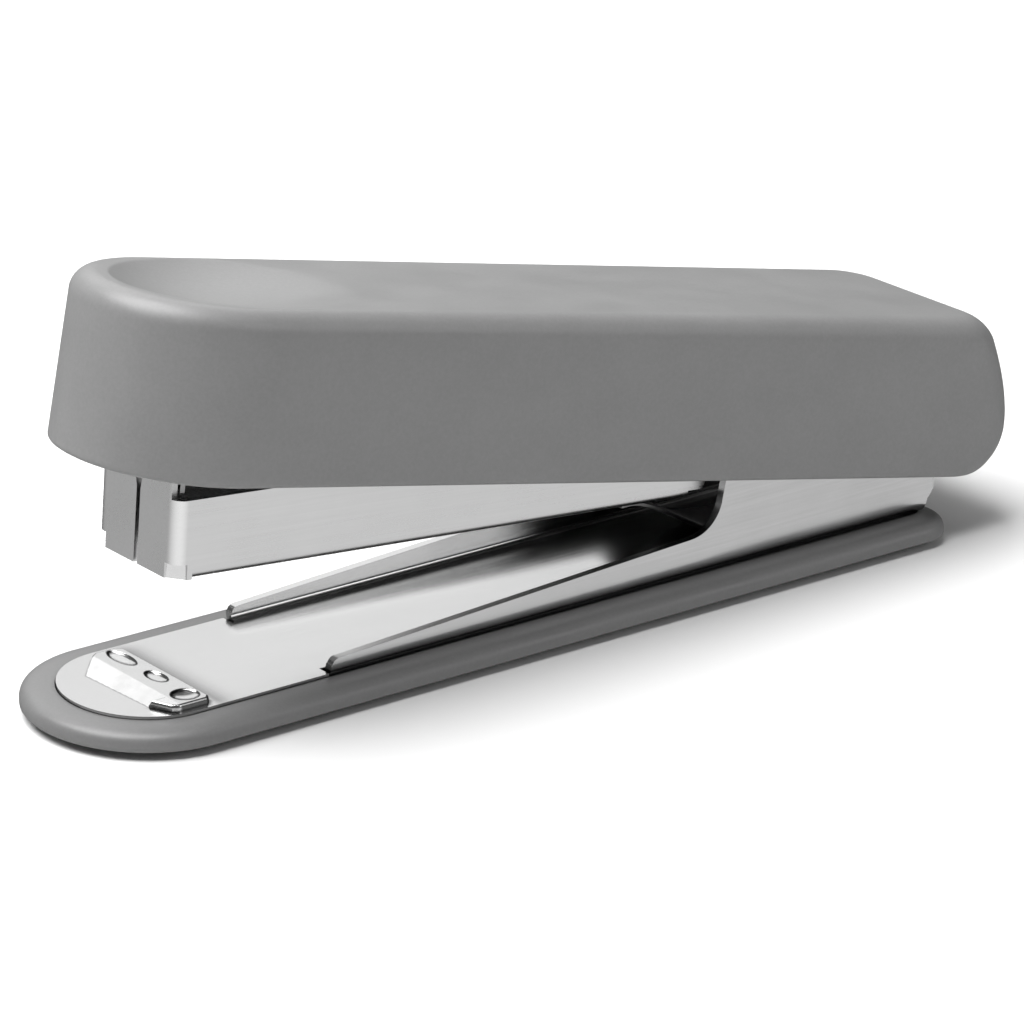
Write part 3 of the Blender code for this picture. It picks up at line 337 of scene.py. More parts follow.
def foot_pad(node):
    """A slab whose half width follows the corner circle, w(x) = W - r + sqrt(r^2 - over^2), ribbed below.

    over is how far x lies past the start of the corner. The underside rises between ribs by a
    raised cosine, which fades out over the last millimetre so that the pad keeps a flat border.
    """
    low, high = box_mm(node)
    middle = (low + high) / 2
    half_long, half_wide = (high[0] - low[0]) / 2, (high[1] - low[1]) / 2
    along = np.linspace(-1.0, 1.0, 209) * half_long
    over = np.clip(np.abs(along) - (half_long - PAD_CORNER), 0.0, PAD_CORNER)
    width = half_wide - PAD_CORNER + np.sqrt(PAD_CORNER ** 2 - over ** 2)
    across = np.linspace(-1.0, 1.0, 61)
    x = np.repeat(along[:, None], across.size, axis=1)
    y = width[:, None] * across[None, :]
    border = np.minimum(half_long - np.abs(x), width[:, None] - np.abs(y))
    fade = np.clip((border - PAD_BORDER) / 0.4, 0.0, 1.0)
    wave = 0.5 - 0.5 * np.cos(2 * np.pi * (x + half_long) / RIB_PITCH)
    groove = RIB_DEPTH * fade * np.clip(1.6 * wave - 0.3, 0.0, 1.0)
    under = np.stack([x + middle[0], y, low[2] + groove], axis=-1)
    upper = np.stack([x + middle[0], y, np.full_like(x, high[2])], axis=-1)
    points, faces = close_sheet([(under, upper, None)])
    piece = make_piece(node + "_rubber", points * MM, faces, RUBBER, "base", [node])
    return round_edges(piece, *SMALL_RADIUS)


for pad in ("foot_pad_front", "foot_pad_rear"):
    foot_pad(pad)

# ---- Base tray ---------------------------------------------------------------------------------
# The tray under the steel plate, injection-moulded in grey ABS with a fine spark-eroded grain. Its
# rolled rim stands round the plate, which lies in a shallow pocket and is held by the pin's ears.
TRAY_FRONT, TRAY_CORNER = 12.6, 4.0
PLATE_FRONT, PLATE_HALF = 8.7, 10.0
tray_low, tray_high = box_mm("base_shell")
plate_low = box_mm("base_plate")[0]
PLATE_THICK = 1.0
BASE_START = np.array([tray_low[0] + TRAY_FRONT, 0.0, plate_low[2] + PLATE_THICK])
TRAY_HALF, TRAY_END = tray_high[1], tray_high[0] - BASE_START[0]
TRAY_TOP, TRAY_BOTTOM = tray_high[2] - BASE_START[2], tray_low[2] - BASE_START[2]


def in_base(points):
    """From the base's space in millimetres to the row frame in metres: a shift."""
    return (points + BASE_START) * MM


def grey_plastic(name, turn, shade=1.0):
    """Grey ABS: a fine moulded grain, specks of gloss, and faint clouding in the colour."""
    material, tree, shader = new_finish(name)
    shader.inputs["IOR"].default_value = 1.5
    grain = noise_field(tree, (6000.0, 6000.0, 6000.0), 2.0, turn)
    cloud = noise_field(tree, (90.0, 140.0, 140.0), 4.0, turn)
    speck = noise_field(tree, (2600.0, 2600.0, 2600.0), 2.0, turn)
    dark, light = np.full(3, 0.186) * shade, np.full(3, 0.208) * shade
    tree.links.new(tone(tree, halfway(tree, speck, cloud), dark, light), shader.inputs["Base Color"])
    tree.links.new(spread(tree, cloud, 0.40, 0.48), shader.inputs["Roughness"])
    tree.links.new(bump(tree, grain, 0.012 * MM, 0.6), shader.inputs["Normal"])
    return material


BASE_PLASTIC = grey_plastic("grey_plastic_base", 0.0, 0.78)


def plan_loop(front, half, end, corner, nose=48, side=60, turn=12, back=10):
    """Half a plan outline from nose tip to the middle of the rear, and its mirror image.

    The half is a quarter ellipse (-front cos a, half sin a), a straight side, a quarter circle of
    the corner's radius, and half the rear edge. The loop starts and ends at the nose tip.
    """
    a = np.linspace(0.0, np.pi / 2, nose + 1)
    c = np.linspace(0.0, np.pi / 2, turn + 1)
    x = np.concatenate([-front * np.cos(a), np.linspace(0.0, end - corner, side + 1)[1:-1],
                        end - corner + corner * np.sin(c), np.full(back, end)])
    y = np.concatenate([half * np.sin(a), np.full(side - 1, half), half - corner + corner * np.cos(c),
                        np.linspace(half - corner, 0.0, back + 1)[1:]])
    half_loop = np.stack([x, y], axis=1)
    return np.concatenate([half_loop, (half_loop * [1, -1])[::-1][1:]])


def quarter(across, down, power, steps):
    """A superellipse quarter from the crest to the wall: how far in and how far down each point is."""
    a = np.linspace(0.0, np.pi / 2, steps + 1)
    return across * (1 - np.sin(a) ** (2 / power)), down * (1 - np.cos(a) ** (2 / power))


def base_tray():
    """Rings between two plan outlines: ring = outer + (inner - outer) * inset / rim width, at a height."""
    outer = plan_loop(TRAY_FRONT, TRAY_HALF, TRAY_END, TRAY_CORNER)
    inner = plan_loop(PLATE_FRONT + 0.1, PLATE_HALF + 0.1, TRAY_END - 1.7, 2.0)
    rim_width = TRAY_HALF - PLATE_HALF - 0.1
    roll_in, roll_down = quarter(3.3, 1.75, 3.0, 22)
    low = np.linspace(0.0, np.pi / 2, 5)
    steps = [(rim_width, -1.3), (rim_width, TRAY_TOP - 0.12), (rim_width - 0.04, TRAY_TOP - 0.04),
             (rim_width - 0.14, TRAY_TOP)]
    steps += list(zip(roll_in, TRAY_TOP - roll_down))
    steps += list(zip(0.35 * (1 - np.cos(low)), TRAY_BOTTOM + 0.35 * (1 - np.sin(low))))
    steps += [(1.6, TRAY_BOTTOM), (1.9, TRAY_BOTTOM + 0.28), (2.3, TRAY_BOTTOM + 0.35)]
    rings = [np.concatenate([outer + (inner - outer) * min(inset / rim_width, 1.0),
                             np.full((len(outer), 1), z)], axis=1) for inset, z in steps]
    first, last = rings[0] * [1, 0, 1], rings[-1] * [1, 0, 1]
    grid = np.stack([first, *rings, last])
    points, faces = join_grids([(grid, None)])
    return make_piece("base_tray", in_base(points), faces, BASE_PLASTIC, "base", ["base_shell"],
                      40.0)


base_tray()

# ---- Steel base plate --------------------------------------------------------------------------
# One pressing of 1 mm nickel-plated steel: a flat floor with a rounded front, and behind two relief
# slits its edges turn up into flanges that climb to the rear and rise into the ears round the pin.
FLOOR_HALF = 8.2
BEND_INSIDE = 0.8
SLIT_START, SLIT_END = 16.95, 17.3
PLATE_REAR = 100.2
hinge = next(j for j in frame["joints"] if j["name"] == "cover_hinge")
PIN = np.array(hinge["pos_m"]) / MM


def darken_by_painted_shade(tree, colour, darkest):
    """A colour made darker where the mesh's own painted shade value is high: painted shade where parts meet
    and in hollows.
    """
    painted_shade = node_of(tree, "ShaderNodeAttribute", attribute_name="painted_shade")
    left = spread(tree, painted_shade.outputs["Fac"], 1.0, darkest, 0.0, 1.0)
    shaded = node_of(tree, "ShaderNodeVectorMath", operation="SCALE")
    tree.links.new(colour, shaded.inputs[0])
    tree.links.new(left, shaded.inputs["Scale"])
    return shaded.outputs["Vector"]


def store_painted_shade(piece, rule):
    """Stores an amount of painted shade from 0 to 1 on each point of a piece, by a rule of its place in the
    base's space.
    """
    place = np.empty(len(piece.data.vertices) * 3)
    piece.data.vertices.foreach_get("co", place)
    place = place.reshape(-1, 3) / MM - BASE_START
    value = piece.data.attributes.new("painted_shade", "FLOAT", "POINT")
    value.data.foreach_set("value", np.clip(rule(place), 0.0, 1.0).astype(np.float32))


def plated_steel(name, turn, tint=0.58, rough=(0.24, 0.34), streak=0.004):
    """Nickel plate over rolled steel: long rolling streaks, soft blotches in the gloss, fine scratches."""
    material, tree, shader = new_finish(name, 1.0)
    streaks = noise_field(tree, (55.0, 2600.0, 2600.0), 3.0, turn)
    blotch = noise_field(tree, (130.0, 190.0, 190.0), 4.0, turn)
    grit = noise_field(tree, (3800.0, 3800.0, 3800.0), 2.0, turn)
    both = halfway(tree, streaks, blotch)
    colour = tone(tree, both, (tint - 0.03,) * 3, (tint + 0.03,) * 3)
    # The colour is darkened by painted shade from the mesh's own value: on the base plate, round the anvil.
    tree.links.new(darken_by_painted_shade(tree, colour, 0.12), shader.inputs["Base Color"])
    tree.links.new(spread(tree, both, *rough), shader.inputs["Roughness"])
    scored = bump(tree, streaks, streak * MM, 0.7)
    tree.links.new(bump(tree, grit, 0.004 * MM, 0.5, scored), shader.inputs["Normal"])
    return material


BASE_STEEL = plated_steel("nickel_steel_base", 0.0, 0.48, (0.16, 0.25))


def arc_points(centre, radius, start, end, steps):
    """Points on a circle between two angles in degrees, ends included, as rows of (u, v)."""
    a = np.radians(np.linspace(start, end, steps + 1))
    return np.stack([centre[0] + radius * np.cos(a), centre[1] + radius * np.sin(a)], axis=1)


def evenly(line, spacing):
    """A line of points filled in so that neighbours lie no more than a spacing apart."""
    line = np.asarray(line, float)
    gaps = np.maximum(np.ceil(np.linalg.norm(np.diff(line, axis=0), axis=1) / spacing), 1).astype(int)
    start = np.repeat(line[:-1], gaps, axis=0)
    step = np.repeat(np.diff(line, axis=0) / gaps[:, None], gaps, axis=0)
    turn = np.concatenate([np.arange(g) for g in gaps])
    return np.concatenate([start + step * turn[:, None], line[-1:]])


ANVIL_PLAN = np.array([(-3.9, 4.9), (-1.2, 8.0), (-0.6, 8.4), (1.9, 8.4), (2.7, 7.6), (2.7, -8.6),
                       (2.1, -9.3), (-1.4, -9.3), (-2.2, -8.9), (-3.3, -6.3)])


def distance_to(loop, x, y):
    """Distance from each point to a closed loop of straight sides: the least over its sides.

    On a side from a to b the nearest point is a + clamp((p - a).(b - a) / |b - a|^2) (b - a).
    """
    a, b = loop, np.roll(loop, -1, axis=0)
    side = b - a
    px, py = x[..., None] - a[:, 0], y[..., None] - a[:, 1]
    t = np.clip((px * side[:, 0] + py * side[:, 1]) / (side ** 2).sum(axis=1), 0.0, 1.0)
    return np.hypot(px - t * side[:, 0], py - t * side[:, 1]).min(axis=-1)


def inside(loop, x, y):
    """True where a point lies inside a convex loop."""
    a, b = loop, np.roll(loop, -1, axis=0)
    side = b - a
    turn = side[:, 0] * (y[..., None] - a[:, 1]) - side[:, 1] * (x[..., None] - a[:, 0])
    return (turn < 0).all(axis=-1)


def base_plate():
    """The plate as its inner skin plus a thickness: floor, bend and wall share one row per station.

    Each station joins a point of the flange's upper outline to a point of the bend below it by a
    straight line. Round the bend the skin is (8.2 + 0.8 sin a, 0.8 - 0.8 cos a), and the sheet's
    thickness lies along (sin a, -cos a).
    """
    pin = np.array([PIN[0] - BASE_START[0], PIN[2] - BASE_START[2]])
    slope = math.tan(math.radians(2.94))
    run = np.array([[18.3, 1.46], [66.2, 1.46 + 47.9 * slope]])
    outline = np.concatenate([
        arc_points((18.3, 0.56), 0.9, 180, 92, 8), evenly(run, 1.0)[1:],
        arc_points((65.94, 8.52), 4.6, -87, -14, 20)[1:],
        evenly([[70.5, 7.9], [72.95, 18.4]], 0.8),
        arc_points((74.9, 18.35), 2.0, 176, 93, 8),
        evenly([[75.6, 20.36], [96.8, pin[1] + 2.98]], 1.0),
        arc_points(pin, 3.0, 93, 0, 10), evenly([[pin[0] + 3.6, 15.0], [101.9, 12.0], [101.9, 2.2]], 0.8),
        [[101.3, 1.4], [101.0, BEND_INSIDE + 0.3]]])
    length = np.concatenate([[0.0], np.cumsum(np.linalg.norm(np.diff(outline, axis=0), axis=1))])
    at_front = length[8]
    at_root = length[8 + len(evenly(run, 1.0)) - 1]
    at_heel = length[np.argmax(outline[:, 0] > 101.4)]
    below = np.interp(length, [0.0, at_front, at_root, at_heel, length[-1]],
                      [17.3, 18.3, 66.2, 98.6, 100.9])
    rise = np.linspace(0.0, 1.0, 9)[None, :] ** 0.9
    wall_x = below[:, None] + (outline[:, :1] - below[:, None]) * rise
    wall_z = BEND_INSIDE + (outline[:, 1:] - BEND_INSIDE) * rise
    floor_x = np.minimum(below, PLATE_REAR - (100.9 - below) * 0.2)
    angle = np.radians(np.linspace(0.0, 90.0, 9))
    bend_x = floor_x[:, None] + (below - floor_x)[:, None] * (angle / angle[-1])[None, :]
    blocks = []
    for side in (-1.0, 1.0):
        one = np.ones_like(wall_x)
        inner = np.stack([wall_x, one * side * (FLOOR_HALF + BEND_INSIDE), wall_z], axis=-1)
        blocks.append((inner + np.array([0.0, side * PLATE_THICK, 0.0]), inner, None))
        one = np.ones_like(bend_x)
        normal = np.stack([0 * one, side * np.sin(angle) * one, -np.cos(angle) * one], axis=-1)
        centre = np.stack([bend_x, one * side * FLOOR_HALF, one * BEND_INSIDE], axis=-1)
        blocks.append((centre + normal * (BEND_INSIDE + PLATE_THICK), centre + normal * BEND_INSIDE, None))
    down = np.array([0.0, 0.0, -PLATE_THICK])
    across = np.linspace(-1.0, 1.0, 97) * FLOOR_HALF
    neck = np.concatenate([np.linspace(SLIT_START, SLIT_END, 3)[:-1], floor_x])
    middle = np.stack(np.broadcast_arrays(neck[:, None], across[None, :], 0.0), axis=-1)
    blocks.append((middle + down, middle, None))
    ledge = np.linspace(FLOOR_HALF, PLATE_HALF, 11)
    fine = np.concatenate([-ledge[::-1][:-1], across, ledge[1:]])
    nose_angle = np.linspace(0.02, 1.0, 90) * np.pi / 2
    reach = np.concatenate([-PLATE_FRONT * np.cos(nose_angle), np.linspace(0.0, 4.0, 33)[1:],
                            np.linspace(4.0, SLIT_START, 16)[1:]])
    share = np.concatenate([np.sin(nose_angle), np.ones(47)])
    nose_x = np.repeat(reach[:, None], fine.size, axis=1)
    nose_y = share[:, None] * fine[None, :]
    nose = np.stack([nose_x, nose_y, np.zeros_like(nose_x)], axis=-1)
    blocks.append((nose + down, nose, None))
    piece = sheet_piece("base_plate_pressing", in_base, blocks, BASE_STEEL, "base", ["base_plate"])

    def painted_shade_round_anvil(place):
        """Painted shade round the anvil, fading with distance: broad behind it, narrow at its near end, thin
        all round.
        """
        x, y = place[:, 0], place[:, 1]
        away = distance_to(ANVIL_PLAN, x, y) * ~inside(ANVIL_PLAN, x, y)
        behind = 0.75 * np.clip(x - 2.6, 0.0, 1.0) * np.exp(-(away / 1.9) ** 2)
        near_end = np.clip(-6.0 - y, 0.0, 1.0) * np.exp(-(away / 0.35) ** 2)
        all_round = 0.4 * np.exp(-(away / 0.15) ** 2)
        shade = np.maximum(np.maximum(behind, near_end), all_round)
        return np.where(place[:, 2] > -0.01, shade, 0.0)

    store_painted_shade(piece, painted_shade_round_anvil)
    return round_edges(piece, 0.38, 4, 60.0)


base_plate()

# ---- Anvil -------------------------------------------------------------------------------------
# The clinch plate: hardened steel, ground bright. Its front face slopes down to the plate and its
# top has three dished hollows, where staple legs strike and curl over.
ANVIL_TOP, ANVIL_TOP_START = 0.75, -1.35
ANVIL_HOLLOWS = (((0.9, 5.3), (1.0, 2.6), 0.4), ((1.0, -1.2), (0.95, 1.9), 0.4),
                 ((0.7, -7.1), (1.55, 1.6), 0.45))       # middle, half sizes, depth


def bright_steel(name, turn=0.0):
    """Ground and hardened steel: a tight mirror with faint grinding lines across it."""
    material, tree, shader = new_finish(name, 1.0)
    lines = noise_field(tree, (3000.0, 120.0, 3000.0), 2.0, turn)
    blotch = noise_field(tree, (420.0, 420.0, 420.0), 3.0, turn)
    colour = tone(tree, blotch, (0.56, 0.56, 0.56), (0.66, 0.66, 0.66))
    # The colour is darkened by painted shade from the mesh's own value: over the anvil's top, its edges and
    # its hollows' rims.
    tree.links.new(darken_by_painted_shade(tree, colour, 0.06), shader.inputs["Base Color"])
    tree.links.new(spread(tree, blotch, 0.16, 0.26), shader.inputs["Roughness"])
    tree.links.new(bump(tree, lines, 0.002 * MM, 0.4), shader.inputs["Normal"])
    return material


BRIGHT_STEEL = bright_steel("bright_steel")


def anvil():
    """A height field on a square grid: z = top * min(front ramp, edge ramp), less the dished hollows.

    The edge ramp is a quarter circle of the distance inside the plan. The front ramp rises straight
    from the front edge to the top, except at the near end. Inside an ellipse r < 1 a hollow takes the
    height down to top - depth * (1 - r^2)^0.6.
    """
    x, y = np.meshgrid(np.linspace(-4.2, 3.0, 130), np.linspace(-9.6, 8.8, 320), indexing="ij")
    edge = np.where(inside(ANVIL_PLAN, x, y), distance_to(ANVIL_PLAN, x, y), 0.0)
    rounded = np.sqrt(np.clip(1 - (1 - np.clip(edge / 0.3, 0, 1)) ** 2, 0, 1))
    front = np.interp(y, [-9.3, -6.3, 4.9, 8.4], [-3.0, -3.3, -3.9, -3.9])
    ramp = np.clip((x - front) / (ANVIL_TOP_START - front), 0.0, 1.0)
    ramp = np.maximum(ramp, np.clip((-6.2 - y) / 0.35, 0.0, 1.0))
    z = ANVIL_TOP * np.minimum(ramp, rounded)
    for (cx, cy), (rx, ry), depth in ANVIL_HOLLOWS:
        r2 = ((x - cx) / rx) ** 2 + ((y - cy) / ry) ** 2
        z = np.minimum(z, np.where(r2 < 1, ANVIL_TOP - depth * np.clip(1 - r2, 0.0, 1.0) ** 0.6, 10.0))
    within = inside(ANVIL_PLAN, x, y)
    top = np.stack([x, y, np.where(within, z, 0.0)], axis=-1)
    under = np.stack([x, y, np.full_like(x, -0.4)], axis=-1)
    keep = within[:-1, :-1] & within[1:, :-1] & within[1:, 1:] & within[:-1, 1:]
    piece = sheet_piece("anvil_clinch_plate", in_base, [(top, under, keep)], BRIGHT_STEEL, "base",
                        ["anvil"], 60.0)

    def painted_shade_on_anvil_top(place):
        """Painted shade that greys the top, darker at its edges and at the far front of each hollow's rim."""
        x, y = place[:, 0], place[:, 1]
        on_top = np.clip((x - ANVIL_TOP_START) / 0.3, 0.0, 1.0)
        dark = on_top * np.maximum(0.9 * np.exp(-(distance_to(ANVIL_PLAN, x, y) / 0.22) ** 2), 0.22)
        for (cx, cy), (rx, ry), _ in ANVIL_HOLLOWS:
            u, v = (x - cx) / rx, (y - cy) / ry
            dark = np.maximum(dark, np.exp(-((np.hypot(u, v) - 0.92) / 0.16) ** 2)
                              * np.clip(0.55 - 0.5 * u + 0.5 * v, 0.0, 1.0))
        return dark

    store_painted_shade(piece, painted_shade_on_anvil_top)
    return piece


anvil()

# ---- Magazine spring and its rivet -------------------------------------------------------------
# A leaf of blued spring steel riveted under the ears. It slopes up to the front and lifts the
# magazine, and lies down flat when the magazine is pressed onto the anvil.
LEAF_HALF, LEAF_THICK, LEAF_FOOT, RIVET_X = 4.0, 0.5, 0.3, 84.0


def spring_steel(name, turn=0.0, tint=0.30):
    """Oil-tempered spring steel: a dark grey sheen with drawn streaks and a smear of oil."""
    material, tree, shader = new_finish(name, 1.0)
    streaks = noise_field(tree, (120.0, 2200.0, 2200.0), 3.0, turn)
    smear = noise_field(tree, (260.0, 260.0, 260.0), 4.0, turn)
    tree.links.new(tone(tree, smear, (tint * 0.8,) * 3, (tint * 1.2,) * 3), shader.inputs["Base Color"])
    tree.links.new(spread(tree, smear, 0.30, 0.46), shader.inputs["Roughness"])
    tree.links.new(bump(tree, streaks, 0.004 * MM, 0.6), shader.inputs["Normal"])
    return material


SPRING_STEEL = spring_steel("spring_steel")


def strip(path, half_width, thick, rows=9):
    """A flat strip: a side-view line (x, z) carried across its width, with its thickness off one side.

    The thickness lies along the line's normal, which at a bend is the mean of its two neighbours'.
    """
    step = np.gradient(path, axis=0)
    normal = np.stack([-step[:, 1], step[:, 0]], axis=1)
    normal /= np.linalg.norm(normal, axis=1, keepdims=True)
    across = np.linspace(-half_width, half_width, rows)

    def skin(line):
        return np.stack(np.broadcast_arrays(line[:, None, 0], across[None, :], line[:, None, 1]), axis=-1)

    return skin(path + normal * thick), skin(path)


def rounded_line(corners, radius, steps=6):
    """A line through corner points with each inner corner turned into a short quadratic curve."""
    corners = np.asarray(corners, float)
    a, b, c = corners[:-2], corners[1:-1], corners[2:]
    first = b + (a - b) * np.minimum(radius / np.linalg.norm(a - b, axis=1), 0.5)[:, None]
    last = b + (c - b) * np.minimum(radius / np.linalg.norm(c - b, axis=1), 0.5)[:, None]
    t = np.linspace(0.0, 1.0, steps + 1)[None, :, None]
    curve = first[:, None] * (1 - t) ** 2 + 2 * b[:, None] * t * (1 - t) + last[:, None] * t ** 2
    return np.concatenate([corners[:1], curve.reshape(-1, 2), corners[-1:]])


def magazine_spring():
    """The leaf's side line, from its riveted foot up to the flat tip that bears on the magazine."""
    line = rounded_line([(90.0, LEAF_FOOT), (79.0, LEAF_FOOT), (74.0, 1.0), (66.0, 5.6), (63.0, 6.9),
                         (61.0, 6.9)], 1.2)
    upper, lower = strip(evenly(line, 0.7)[::-1], LEAF_HALF, LEAF_THICK)
    leaf = sheet_piece("magazine_spring_leaf", in_base, [(upper, lower, None)], SPRING_STEEL, "base",
                       ["magazine_spring"])
    round_edges(leaf, *SMALL_RADIUS)
    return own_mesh(leaf)


magazine_spring()


def spun(profile, centre, axis, around=64):
    """A turned piece: (radius, height) points swept about an axis through its centre.

    For the Z axis a point is (r cos t, r sin t, h); for Y the same circle stands upright, with h on Y.
    """
    profile = np.asarray(profile, float)
    t = np.linspace(0.0, 2 * np.pi, around + 1)
    radius, height = profile[:, :1], np.broadcast_to(profile[:, 1:], (len(profile), around + 1))
    u, v = radius * np.cos(t), radius * np.sin(t)
    ring = (u, v, height) if axis == "Z" else (u, height, v)
    return np.stack(ring, axis=-1) + np.asarray(centre, float)


def eased(profile, radius=0.12):
    """A turned profile with its corners eased."""
    return rounded_line(profile, radius, 3)


PLATED_STEEL = plated_steel("nickel_steel_pin", 0.0, 0.56)
rivet_top = LEAF_FOOT + LEAF_THICK
rivet = spun(eased([(0.0, rivet_top + 0.8), (1.2, rivet_top + 0.65), (2.1, rivet_top + 0.15),
                    (2.1, rivet_top), (1.0, rivet_top), (1.0, -1.0), (0.0, -1.0)]),
             (RIVET_X, 0.0, 0.0), "Z")
grid_piece("magazine_spring_rivet_head", in_base(rivet), PLATED_STEEL, "base",
           ["magazine_spring_rivet"], 45.0)

# ---- Pivot pin and its clip --------------------------------------------------------------------
# A headed steel pin through the ears, the magazine's arms and the cover's frame. A spring-steel
# washer pressed over its far end keeps it in.
pin_head = PLATE_HALF + 0.3
pin = spun(eased([(0.0, PLATE_HALF + 1.1), (1.2, PLATE_HALF + 1.1), (1.5, PLATE_HALF + 0.8),
                  (1.5, -pin_head), (2.5, -pin_head), (2.5, -pin_head - 0.4), (2.1, -pin_head - 0.6),
                  (0.0, -pin_head - 0.6)]), PIN, "Y")
grid_piece("pivot_pin_turned", pin * MM, PLATED_STEEL, "base", ["pivot_pin"], 45.0)
clip = spun(eased([(1.6, PLATE_HALF + 0.3), (2.7, PLATE_HALF + 0.3), (2.7, PLATE_HALF + 0.55),
                   (1.9, PLATE_HALF + 0.8), (1.6, PLATE_HALF + 0.8), (1.6, PLATE_HALF + 0.3)], 0.08),
            PIN, "Y")
grid_piece("pivot_clip_washer", clip * MM, SPRING_STEEL, "base", ["pivot_clip"])

# ---- Magazine channel --------------------------------------------------------------------------
# Folded from 0.8 mm nickel-plated sheet: two walls bent up from a floor, closed across the nose by
# two flaps that meet at a slit, with arms at the rear that turn on the pivot pin.
MAGAZINE_PITCH = math.radians(4.92)
SHEET = 0.8
NOSE_X, CHANNEL_HALF, CORNER = -97.7, 7.4, 1.4
WALL_BOTTOM, WALL_TOP, FLAP_TOP = -13.35, -4.7, -2.6
FOLD = 0.9                                  # outer radius of the folds along the floor
RELIEF_END, FOLD_START, FLOOR_START, FLOOR_END = -96.05, -95.4, -94.0, -29.3
ARM_EYE = 2.8
FLAP_HALF, RELIEF_HALF, RELIEF_TOP = 6.2, 5.6, -11.65
FLARE_START, FLARE = -5.1, 0.5
TAB_INSET, TAB_LONG, TAB_WIDE = 0.1, 1.45, 1.6          # the small tab folded across each relief
SLIT_LEFT, SLIT_RIGHT = 0.2, -0.5


def about_pin(points, pitch):
    """From a tipped group's space to the row frame: (x cos + z sin, y, z cos - x sin), plus the pin."""
    x, y, z = np.moveaxis(np.asarray(points, float), -1, 0)
    c, s = math.cos(pitch), math.sin(pitch)
    return (np.stack([x * c + z * s, y, z * c - x * s], axis=-1) + PIN) * MM


def in_magazine(points):
    return about_pin(points, MAGAZINE_PITCH)


MAGAZINE_STEEL = plated_steel("nickel_steel_magazine", MAGAZINE_PITCH)


